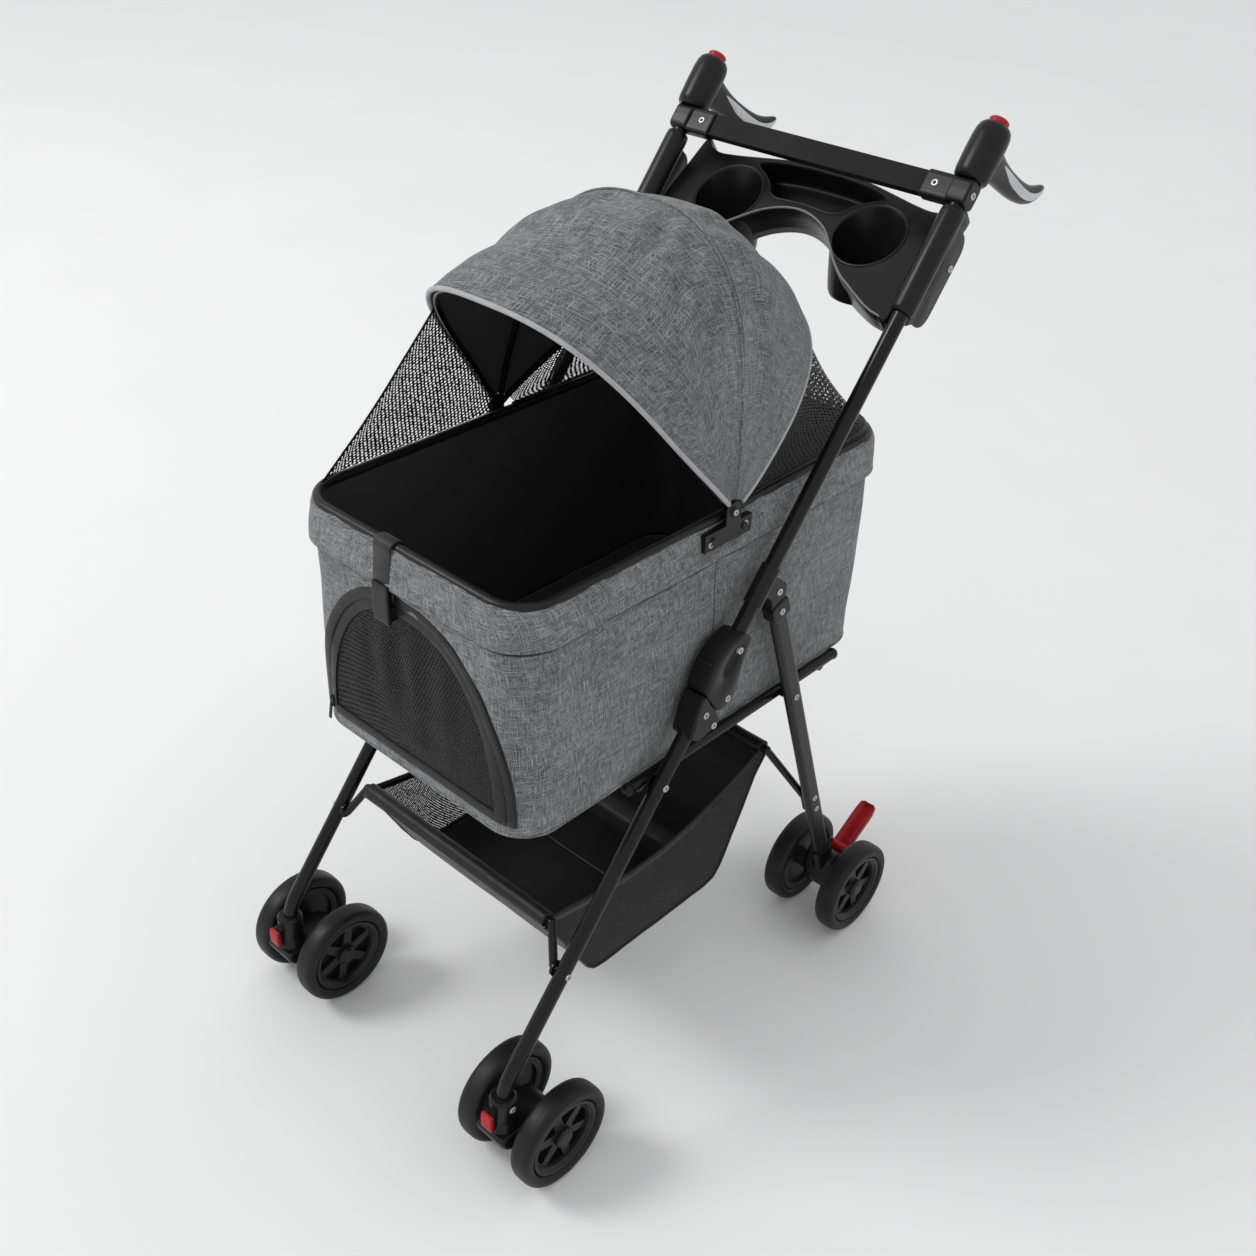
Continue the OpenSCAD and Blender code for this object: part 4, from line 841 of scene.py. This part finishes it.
for k in np.linspace(0.03, 1, 46):
    row = []
    for t in ts:
        x, _, z = door_pt(t, 11)
        x, z = x * k, DOOR_Z + 1 + (z - DOOR_Z) * k
        belly = (1 - k ** 2.5) * smooth01((z - DOOR_Z - 5) / 34)
        pleats = 3.0 * sin(x / 7.2 + 0.8 * wob(x, 0, z, 60, 1)) * exp(-((z - 600) / 80) ** 2)
        row.append((x, front_y(x) - 0.6 - belly * (3.2 + pleats + 2.0 * wob(x, 0, z, 34, 6)), z))
    g.append(row)
door_net = grid("door_net", g, "net_door", slot="mesh")
base = [(x, front_y(x) - 1.4, DOOR_Z + 5.5 + 0.8 * wob(x, 0, 0, 16, 3)) for x in np.linspace(-134, 134, 100)]
hem_d = sweep("door_hem", base, (0, -1, 0), strip(5.5, -0.8, 0.6, 1.0, 1.0), "nylon", slot="cabin_fabric")
FOOT_Y = front_y(133)
slider = [(-133, FOOT_Y - 3.5, z) for z in (440, 446, 452)]
tab = [(-134 - 0.5 * k, FOOT_Y - 5.2 - 0.3 * k, 443 - 4 * k) for k in range(6)]
pull = join("door_zip_pull", [sweep("pull", path, (0, -1, 0), ring2(r, 10, 4, ry), "plastic_black")
                              for path, r, ry in ((slider, 3.2, 1.6), (tab, 2.2, 0.7))])
for o in (tape_in, coil, door_net, hem_d, pull):
    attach(o, "door")
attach(tape_out, "frame")
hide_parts("door_panel")
print("door", round(area(door_net), 3))

# %% [markdown]
# ## Strap over the rim
# Webbing folded over the rim and sewn, with the clasp at its lower end.

# %%
STRAP_X = -21.0
turn = [(cos(a), sin(a)) for a in np.linspace(0.0, pi, 14)]
path = [(STRAP_X, Y0 - 9.0 + 2.4 * smooth01((z - 655) / 25), z) for z in np.linspace(648, 684, 10)]
path += [(STRAP_X, Y0 + 2.2 - 8.8 * c, 687.5 + 7.4 * s) for c, s in turn]
path += [(STRAP_X, Y0 + 11.0, z) for z in np.linspace(682, 650, 8)]
ups = [(0, -1, 0)] * 10 + [(0, -c, s) for c, s in turn] + [(0, 1, 0)] * 8
strap = sweep("strap_web", path, ups, strip(12.5, -0.8, 0.5, 0.8, 1.0), "webbing", slot="strap")
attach(strap, "frame")

# %% [markdown]
# ## Storage basket
# A nylon tray slung between two bars, with a sleeve round each bar and net sides.

# %%
FB, RB, BZ, BW = np.array([-300.1, 279.9]), np.array([60.0, 312.0]), 152.0, 150.0
prof = [FB + q for q in ((-8.2, -3), (-2, -12), (20, -44), (44, -88))]
prof += [(FB[0] + y, BZ + h) for y, h in ((62, 12), (72, 3), (90, 0.5))]
prof += [(-150, BZ + 0.5), (-100, BZ + 0.5), (-60, BZ)]
prof += [(RB[0] - y, BZ + h) for y, h in ((96, -0.5), (78, 4), (66, 18))]
prof = np.array(prof + [RB + q for q in ((-40, -90), (-14, -34), (3, -12), (8.2, -3))], float)
seg = run_length(prof)


def basket_pt(s, u):
    """Point of the cloth, s along it from the front bar to the rear one and u across, both as shares."""
    y, z = (np.interp(s * seg[-1], seg, prof[:, i]) for i in (0, 1))
    x = (u * 2 - 1) * (BW - 1.0)
    mid = hump(u)
    body = hump(min(1, max(0, s)))
    sag = 5.0 * mid * body
    crease = 2.2 * wob(x, y, z, 55, 4) * body + 1.0 * wob(x, y, z, 20, 5) * body
    flank = smooth01((z - BZ) / 60)
    dy = (1 if y < -120 else -1) * (sag * 0.7 + crease) * flank
    return np.array([x, y + dy, z - (sag * 0.4 - crease * 0.6) * (1 - flank)])


HALVES = (("front", 0.0, 0.5), ("rear", 0.5, 1.0))
HEM = [(-5, -0.8), (5, -0.8), (5, 0.8), (-5, 0.8)]
halves, sides, basket = [], [], {"front": [], "rear": []}
for place, a, b in HALVES:
    g = [[basket_pt(s, u) for u in shares(70)] for s in np.linspace(a, b, 64)]
    halves.append(thick(grid("basket_" + place, g, "nylon", slot="basket_cloth"), 1.0, 0.0))
    basket[place].append(halves[-1])
for e, n in SIDES:
    for place, a, b in HALVES:
        g = []
        for s in np.linspace(a, b, 46):
            lo = basket_pt(s, 1.0)
            yt, zt = FB + (RB - FB) * s - (0, 34 * hump(s))
            row = []
            for v in shares(26):
                y, z = lo[1] * (1 - v) + yt * v, lo[2] * (1 - v) + zt * v
                puff = (3.0 * hump(s) + 1.6 * wob(0, y, z, 38, 6 + e)) * hump(v)
                row.append((e * (BW - 0.5 + min(3.5, max(-6, puff))), y, z))
            g.append(row)
        end = f"_{place}_{n}"
        side = grid("basket_side" + end, g, "net_basket", slot="basket_cloth")
        trim = [sweep(part + end, [row[i] for row in g], (e, 0, 0), section, "satin", slot="basket_cloth")
                for part, i, section in (("basket_hem", -1, HEM), ("basket_seam", 0, ring2(2.0, 8)))]
        sides.append((place, side, trim))
        basket[place] += [side, *trim]
for place, bar in (("front", FB), ("rear", RB)):
    xs = np.linspace(-BW + 1, BW - 1, 90)
    path = [(x, bar[0] + 0.8 * wob(x, 0, 0, 40, 2), bar[1] + 0.6 * wob(x, 3, 0, 33, 2)) for x in xs]
    puckers = [1 + 0.05 * wob(x, 0, 0, 14, 4) for x in xs]
    tube = sweep("basket_sleeve_" + place, path, (0, 0, 1), ring2(9.2, 20), "nylon", slot="basket_cloth", scale=puckers)
    middle = basket_pt(0.5, 0.5) + (0, 0, 70)
    for o in basket[place] + [tube]:
        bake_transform(o)
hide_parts("storage_basket")
print("basket", round(area(halves[0]), 3), round(area(halves[1]), 3))

# %% [markdown]
# ## Moulded and pressed pieces
# The handle's line leans back, so its pieces are placed by how far they lie up the tube, behind it and to the side. A
# moulded plate is made from its outline as rings, with a soft edge and, where a thumb goes, a dished middle.

# %%
LEAN = radians(51.3)
LC, LS = cos(LEAN), sin(LEAN)
TH, LINE_Y, LINE_Z = 188.0, -111, 500


def on_line(e, x, b, up):
    """Point of side e: x outwards from the tube's line, b behind it and up along it."""
    return np.array([e * (TH + x), LINE_Y + up * LC + b * LS, LINE_Z + up * LS - b * LC])


def rounded(pts, k=4):
    """Smooth closed curve through the points."""
    p = np.asarray(pts, float)
    a, c, d = np.roll(p, 1, 0), np.roll(p, -1, 0), np.roll(p, -2, 0)
    out = []
    for i in range(len(p)):
        for t in np.arange(k) / k:
            bend = 2 * a[i] - 5 * p[i] + 4 * c[i] - d[i]
            twist = 3 * p[i] - a[i] - 3 * c[i] + d[i]
            out.append(0.5 * (2 * p[i] + (c[i] - a[i]) * t + bend * t * t + twist * t ** 3))
    return np.array(out)


def by_angle(pts, mid, n=96):
    """The outline as even directions from mid and a radius for each."""
    v = np.asarray(pts, float) - mid
    v = np.concatenate([v * (1 - t) + np.roll(v, -1, 0) * t for t in np.arange(10)[:, None, None] / 10])
    a, r = np.arctan2(v[:, 1], v[:, 0]), np.hypot(v[:, 0], v[:, 1])
    k = np.argsort(a)
    return circle(1, n, -pi), np.interp(turns(n) - pi, a[k], r[k], period=2 * pi)


def plate(name, outline, e, lo, hi, edge_r, mid, dish=None):
    """A plate on the handle's line between x = lo and hi; dish = (half width, half length, depth) about mid."""
    d, r = by_angle(outline, mid)
    rings = [(0.02 * r, hi)]
    if dish:
        o = 1 / np.sqrt((d[:, 0] / dish[0]) ** 2 + (d[:, 1] / dish[1]) ** 2)
        deep = dish[2]
        rings = [(k * o, hi - h) for k, h in ((0.02, deep), (0.6, deep), (0.88, deep * 0.72), (0.97, 0.8), (1.04, 0))]
    side, soft = r - edge_r * 0.35, edge_r * 0.3
    rings += [(r - edge_r, hi), (side, hi - soft), (r, hi - edge_r)]
    rings += [(r, lo + edge_r), (side, lo + soft), (r - edge_r, lo), (0.02 * r, lo)]
    g = [[on_line(e, h, *(mid + q * k)) for q, k in zip(d, rr)] for rr, h in rings]
    return hoops(name, g, "plastic_black")


def turned(name, prof, e, n, mat):
    """A piece turned about the tube: (radius, height up the tube) rings of n points."""
    return hoops(name, [[on_line(e, *q, z) for q in circle(r, n)] for r, z in prof], mat)


def both_sides(make):
    return [make(e, n) for e, n in SIDES]


CASE = rounded([(-20, 0), (-26, 8), (-29, 22), (-29, 38), (-25, 54), (-17, 66), (-9, 74), (9, 74), (12.5, 62), (17, 46),
                (24, 30), (29, 14), (28, 2), (20, -9), (8, -8.6), (-6, -5)])
cases = both_sides(lambda e, n: plate("knuckle_case_" + n, CASE, e, -14, 14.2, 2.5, (-6, 42), (9.5, 18, 4.5)))
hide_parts("knuckle_upper")
for o in cases:
    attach(o, "handle")

# grips: a soft sleeve with a hook behind it, and a pale strip let into each side of the hook
GRIP = [(12.6, 591), (16.6, 591.6), (18.3, 594), (19.2, 600), (19.7, 618), (19.6, 636), (18.9, 644), (17.2, 649.5),
        (14.6, 652.4), (12.0, 653.2), (11.6, 650), (11.6, 640)]
# the hook's stations: behind the tube, up from the grip's foot, half height, half width
HORN = np.array([
    (13.5, 30, 19, 11), (22, 30.5, 18, 10.5), (34, 31, 16, 9.6), (48, 32, 14.2, 8.8), (64, 33.5, 13.2, 8.4),
    (82, 36, 12.6, 8.0), (100, 39.5, 12, 7.8), (116, 44, 11.2, 7.4), (130, 50.5, 10, 6.8), (141, 58.5, 8, 6),
    (147.5, 65.5, 5.8, 4.8), (150.5, 70.5, 3, 3), (151.3, 72.2, 0.6, 0.8)])
stations = np.arange(len(HORN))
fine = np.array([[np.interp(t, stations, HORN[:, i]) for i in range(4)] for t in np.linspace(0, stations[-1], 90)])
for _ in range(6):
    fine[1:-1] = (fine[:-2] + 2 * fine[1:-1] + fine[2:]) / 4
run = unit(np.gradient(fine[:, :2], axis=0))


def horn_pt(e, i, a, proud=0.0):
    b, up, hh, hw = fine[i]
    q = (hh + proud) * sup(sin(a), 2.5)
    return on_line(e, (hw + proud) * sup(cos(a), 2.5), b - run[i, 1] * q, 593 + up + run[i, 0] * q)


def grip(e, n):
    body = turned("grip_sleeve_" + n, GRIP, e, 40, "grip_black")
    hook = [[horn_pt(e, i, a) for a in turns(28)] for i in range(90)]
    body = join("grip_sleeve_" + n, [body, hoops("hook", hook, "grip_black")])
    strips = []
    for outer in (True, False):
        rows = []
        for i in range(16, 84):
            half = 0.36 * sin(pi * min(1, (i - 15) / 22) / 2) * sin(pi * min(1, (85 - i) / 10) / 2)
            mid = 0.30 - 0.55 * smooth01((i - 20) / 50)
            angles = [(v, mid + v * half) for v in np.linspace(-1, 1, 9)]
            rows.append([horn_pt(e, i, a if outer else pi - a, 0.5 * (1 - v ** 4) - 0.05) for v, a in angles])
        strips.append(grid("strip", rows, "inlay"))
    inlay = join("grip_inlay_" + n, strips)
    for o in (body, inlay):
        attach(o, "grip_body_" + n)
    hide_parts("grip_" + n)
    return body


grips = both_sides(grip)


# brake pedals: a dished paddle, square at the sides and round at the tip
PADDLE = [(12.5, 2.8), (11.6, 3.6), (10.4, 3.4), (9, 1.0), (4.5, 0.2)]
PADDLE = [(-12.5, -3), (-11.5, -3.6), (11.5, -3.6), (12.5, -3)] + PADDLE + [(-x, z) for x, z in PADDLE[::-1]]
PEDAL_Y, PEDAL_Z = 207, 82.5


def pedal(e, n):
    run = rounded([(-4, -3), (6, 4), (17, 11), (29, 19), (41, 26.5), (51, 33), (57, 39)], 5)[:31]
    path = [(e * TH, PEDAL_Y + y, PEDAL_Z + z) for y, z in run]
    tip = [1.0] * 24 + [0.995, 0.98, 0.95, 0.9, 0.8, 0.62, 0.3]
    o = sweep("pedal_paddle_" + n, path, (0, -0.5, 0.86), PADDLE, "plastic_red", slot="plastic_red", scale=tip)
    across = [(e * TH + x, PEDAL_Y, PEDAL_Z) for x in np.linspace(-12, 12, 6)]
    o = join("pedal_paddle_" + n, [o, sweep("hub", across, (0, 0, 1), ring2(8, 24), "plastic_red")])
    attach(o, "pedal_" + n)
    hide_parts("brake_pedal_" + n)
    return o


pedals = both_sides(pedal)
print("case, grips, pedals", len(cases + grips + pedals))

# %% [markdown]
# ## Parent tray
# A moulded tray: a flat top with two cups and a long recess, a deep skirt all round, and a sleeve with a flange on each
# tube. The top is filled between its outlines, so the cups and the recess are true holes in it.

# %%
TILT = radians(35)
TC, TS = cos(TILT), sin(TILT)
TRAY_Y, TRAY_Z = 267, 918
# half outlines, from the rear middle round the right side: across, and back along the tilted top
TRAY_HALF = [(0, 19), (26, 18.4), (52, 16), (76, 12), (100, 7.5), (125, 3), (148, 1), (165, 7), (177, 17), (178, -30),
             (178, -85), (178, -138), (166, -140), (150, -136), (133, -128), (116, -119), (98, -109), (80, -95),
             (62, -77), (43, -60), (21, -49.5)]
RECESS_HALF = [(0, 10), (30, 9.5), (58, 7), (78, 3), (86, -1), (80, -6.5), (66, -14), (55, -24), (48, -33), (36, -37),
               (18, -36)]


def whole(half, front):
    return rounded([(-x, y) for x, y in half] + [(0, front)] + half[:0:-1], 4)


tray_line, recess_line = whole(TRAY_HALF, -46), whole(RECESS_HALF, -35)
CUP, CUP_R, CUP_Z = np.array([97.5, -50.5]), 42.6, 822.0


def on_tray(x, a, h=0.0):
    """Point of the tray: across, back along its tilted top, and up from it."""
    return np.array([x, TRAY_Y + a * TC - h * TS, TRAY_Z + a * TS + h * TC])


def outset(line, d):
    t = unit(np.roll(line, -1, 0) - np.roll(line, 1, 0))
    n = np.stack([t[:, 1], -t[:, 0]], 1)
    if (n * (line - line.mean(0))).sum() < 0:
        n = -n
    return line + d * n


def inside(q, line):
    a, b = line, np.roll(line, -1, 0)
    x = (b[:, 0] - a[:, 0]) * (q[1] - a[:, 1]) / (b[:, 1] - a[:, 1] + 1e-12) + a[:, 0]
    return (((a[:, 1] > q[1]) != (b[:, 1] > q[1])) & (q[0] < x)).sum() % 2 == 1


holes = [CUP * (e, 1) + circle(CUP_R, 56) for e, _ in SIDES] + [outset(recess_line, 2.4)]
rim_in = outset(tray_line, -2.2)
pts, edges = [], []
for loop in [rim_in] + holes:
    k = len(pts)
    pts += [Vector(q) for q in loop]
    edges += [(k + i, k + (i + 1) % len(loop)) for i in range(len(loop))]
v2, _, f2, *_ = delaunay_2d_cdt(pts, edges, [], 0, 1e-5)
v2 = np.array([tuple(q) for q in v2])
keep = []
for f in f2:
    c = v2[list(f)].mean(0)
    if inside(c, rim_in) and not any(inside(c, h) for h in holes):
        keep.append(list(f))
top = thick(mesh("tray_top", [on_tray(x, a) for x, a in v2], keep, "plastic_black", smooth=False), 2.6)


def skirt_depth(q):
    return 24 + 15 * smooth01((165 - abs(q[0])) / 70) * (1 if q[1] < -12 else 0.5)


def moulding(name, rows):
    return hoops(name, rows, "plastic_black")


def rims(line, steps):
    return [[on_tray(*q, h) for q in outset(line, d)] for d, h in steps]


rows = rims(tray_line, [(-2.2, 0.0), (-0.8, -0.5), (0, -2.0)])
for d, k in ((0, 0.4), (0, 0.75), (0, 1.0), (-2.6, 1.0), (-2.6, 0.5), (-2.6, 0.1)):
    rows.append([on_tray(*q, -skirt_depth(q) * k) for q in outset(tray_line, d)])
skirt = moulding("tray_skirt", rows)
front_edge = sorted((q for q in outset(tray_line, -1.7) if q[1] < -40 and abs(q[0]) < 172), key=lambda q: q[0])
# the bead on the front edge takes a lighter grey: a painted highlight along the edge
bead = sweep("tray_bead", [on_tray(*q, 0.5) for q in front_edge], (0, -0.57, 0.82), ring2(1.3, 8), "edge_worn")


def cup_ring(e, r, w, over=0.0):
    """Ring of a cup, level at its floor (w = 0) and tilted like the top at its lip (w = 1)."""
    _, my, mz = on_tray(*CUP)
    out = []
    for x, y in circle(r, 48):
        y *= 1 - (1 - TC) * w
        out.append((e * (CUP[0] + x), my + y, CUP_Z + (mz + y * TS / TC - CUP_Z) * w + over))
    return out


def cup(e, n):
    ws = np.linspace(0.02, 0.97, 12)
    steps = [(0.5, 0.0), (30, 0.0), (34.6, 0.01), (35.6, 0.03)]
    steps += [(35.6 + 7 * w ** 0.6, w) for w in ws[1:]]
    steps += [(43.4, 1, 0.1), (42.4, 1, 1.3), (41.2, 1, 1.5), (40.3, 1, 0.8)]
    steps += [(33 + 7 * w ** 0.6, w) for w in ws[:0:-1]]
    steps += [(33, 0.07), (31, 0.045), (26, 0.04), (0.5, 0.04)]
    return moulding("tray_cup_" + n, [cup_ring(e, *step) for step in steps])


def bottom(*steps):
    """Rings closing the recess's floor: share of its outline, height."""
    mid = recess_line.mean(0)
    return [[on_tray(*(mid + (q - mid) * k * 0.85), h) for q in recess_line] for k, h in steps]


cups = both_sides(cup)
lip = [(2.8, -0.2), (2.2, 1.0), (1.0, 1.3), (0.2, 0.6), (-0.2, -2), (-1.4, -22), (-3.2, -26), (-6, -27.5)]
recess = moulding("tray_recess", rims(recess_line, lip) + bottom((0.6, -27.8), (0.3, -27.8), (0.02, -27.8)))
shell = rims(recess_line, [(2.8, -1), (2.4, -22), (-0.4, -28), (-5, -29.8)])
under = moulding("tray_recess_under", shell + bottom((0.6, -29.9), (0.02, -29.9)))


def sleeve(e, n):
    prof = [(8.7, 441), (11.2, 440), (12.6, 441.5), (13.2, 446), (13.2, 500), (13.2, 552), (12.6, 557.5), (11.2, 559),
            (8.7, 558)]
    wing = rounded([(4, 440), (22, 439), (36, 441), (44, 450), (46, 470), (46, 520), (44, 538), (36, 547), (22, 549),
                    (4, 548)])
    pipe = turned("tray_sleeve_" + n, prof, e, 36, "plastic_black")
    return join("tray_sleeve_" + n, [pipe, plate("flange", wing, e, 2, 6, 1.4, (24, 494))])


tray = [top, skirt, bead, recess, under] + cups + both_sides(sleeve)
for o in tray:
    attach(o, "handle")
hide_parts("parent_tray")
print("tray", len(tray), "pieces,", len(keep), "faces in its top")

# %% [markdown]
# ## Rivets
# Each pressed rivet shows as a small bright ring with a hollow whose floor is painted dark as its shade. They sit where
# the imported pins end.

# %%
def islands(o):
    """The points of each separate piece of a node, in millimetres."""
    v = np.array([x.co for x in o.data.vertices])
    _, w = np.unique(np.round(v, 5), axis=0, return_inverse=True)
    w = w.ravel()
    lab = np.arange(w.max() + 1)
    e = w[np.array([x.vertices for x in o.data.edges])]
    while True:
        m = np.minimum(lab[e[:, 0]], lab[e[:, 1]])
        new = lab.copy()
        np.minimum.at(new, e[:, 0], m)
        np.minimum.at(new, e[:, 1], m)
        if (new == lab).all():
            break
        lab = new
    return [v[lab[w] == k] / MM - (0, SHIFT, 0) for k in np.unique(lab)]


def rivet(mid, axis, r=4.0):
    axis = np.asarray(axis, float)
    u = unit(np.cross(axis, (0.3, 0.5, 0.81)))
    rays = circle(1, 20) @ [u, np.cross(axis, u)]
    ring = lambda k, h: mid + axis * h + r * k * rays
    head = [ring(k, h) for k, h in ((1, -0.5), (1, 0.715), (0.88, 1.3), (0.52, 1.3), (0.45, 1.0), (0.43, 0.2))]
    # the hollow's floor is near-black: painted shade
    hollow = [ring(0.44, 0.25), ring(0.02, 0.25)]
    return hoops("ring", head, "steel"), hoops("hollow", hollow, "hole_dark")


BRACKET_X = 168
HINGE_RIVETS = ((173.6, -104, 670.5), (173.6, -50, 675), (175.6, -70, 695))
heads = {"frame_rivets": "frame", "front_leg_rivets": "front_legs", "rear_leg_rivets": "rear_legs",
         "handle_fasteners": "handle"}
for node, body in heads.items():
    spots = []
    for v in islands(nodes[node]):
        e = 1 if v[:, 0].mean() > 0 else -1
        far = (e * v[:, 0]).max()
        _, y, z = v[e * v[:, 0] > far - 0.3].mean(0)
        if node != "handle_fasteners" or far >= BRACKET_X:
            spots.append((np.array([e * (far - 2.0), y, z]), (e, 0, 0)))
    if body == "handle":
        spots += [(on_line(e, -30, -9.0, 577), (0, -LS, LC)) for e, _ in SIDES]
    if body == "frame":
        spots += [(np.array([e * x, y, z]), (e, 0, 0), 3.4) for e, _ in SIDES for x, y, z in HINGE_RIVETS]
    for part, made in zip(("_rings", "_hollow_shades"), zip(*(rivet(*spot) for spot in spots))):
        o = join(node + part, list(made))
        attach(o, body)
        if part == "_rings":
            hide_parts(node)
    print(node, len(spots))

# %% [markdown]


# %% [markdown]
# ## Camera, lamps and studio
# A long soft lamp from the upper left and an even sky. The floor is a pale sweep that fills the view.

# %%
scene = bpy.context.scene


def put(name, data):
    o = bpy.data.objects.new(name, data)
    scene.collection.objects.link(o)
    return o


az, el, roll = (radians(v) for v in (41.658, 33.611, 2.3986))
back = Vector((sin(az) * cos(el), -cos(az) * cos(el), sin(el)))
right = (-back).cross(Vector((0, 0, 1))).normalized()
up = right.cross(-back)
right, up = right * cos(roll) + up * sin(roll), up * cos(roll) - right * sin(roll)
scene.camera = put("camera", bpy.data.cameras.new("camera"))
scene.camera.data.sensor_width, scene.camera.data.lens = 36, 41.17
scene.camera.matrix_world = Matrix((*zip(right, up, back, (0.9288, -1.0654, 1.3822)), (0, 0, 0, 1)))
scene.view_settings.view_transform = "Standard"

ground = Mat("studio", Roughness=0.9, Specular_IOR_Level=0.1)
pale = ground.ramp(ground.noise(ground.coord(), 3, 2), (0.2, (0.87, 0.87, 0.87)), (0.8, (0.89, 0.89, 0.89)))
ground.set(ground.b, Base_Color=pale)
me = bpy.data.meshes.new("floor")
me.from_pydata([(-9, -9, 0), (9, -9, 0), (9, 9, 0), (-9, 9, 0)], [], [(0, 1, 2, 3)])
me.materials.append(ground.m)
put("floor", me)

scene.world = bpy.data.worlds.new("world")
scene.world.use_nodes = True
sky = scene.world.node_tree.nodes["Background"].inputs
sky["Color"].default_value, sky["Strength"].default_value = (0.985, 0.99, 1.0, 1), 0.76

light = bpy.data.lights.new("key", "AREA")
light.shape, light.size, light.energy = "DISK", 2.6, 200
key = put("key", light)
key.location = (-4.0, -3.6, 5.4)
key.rotation_euler = (Vector((0, -0.05, 0.4)) - key.location).to_track_quat("-Z", "Y").to_euler()
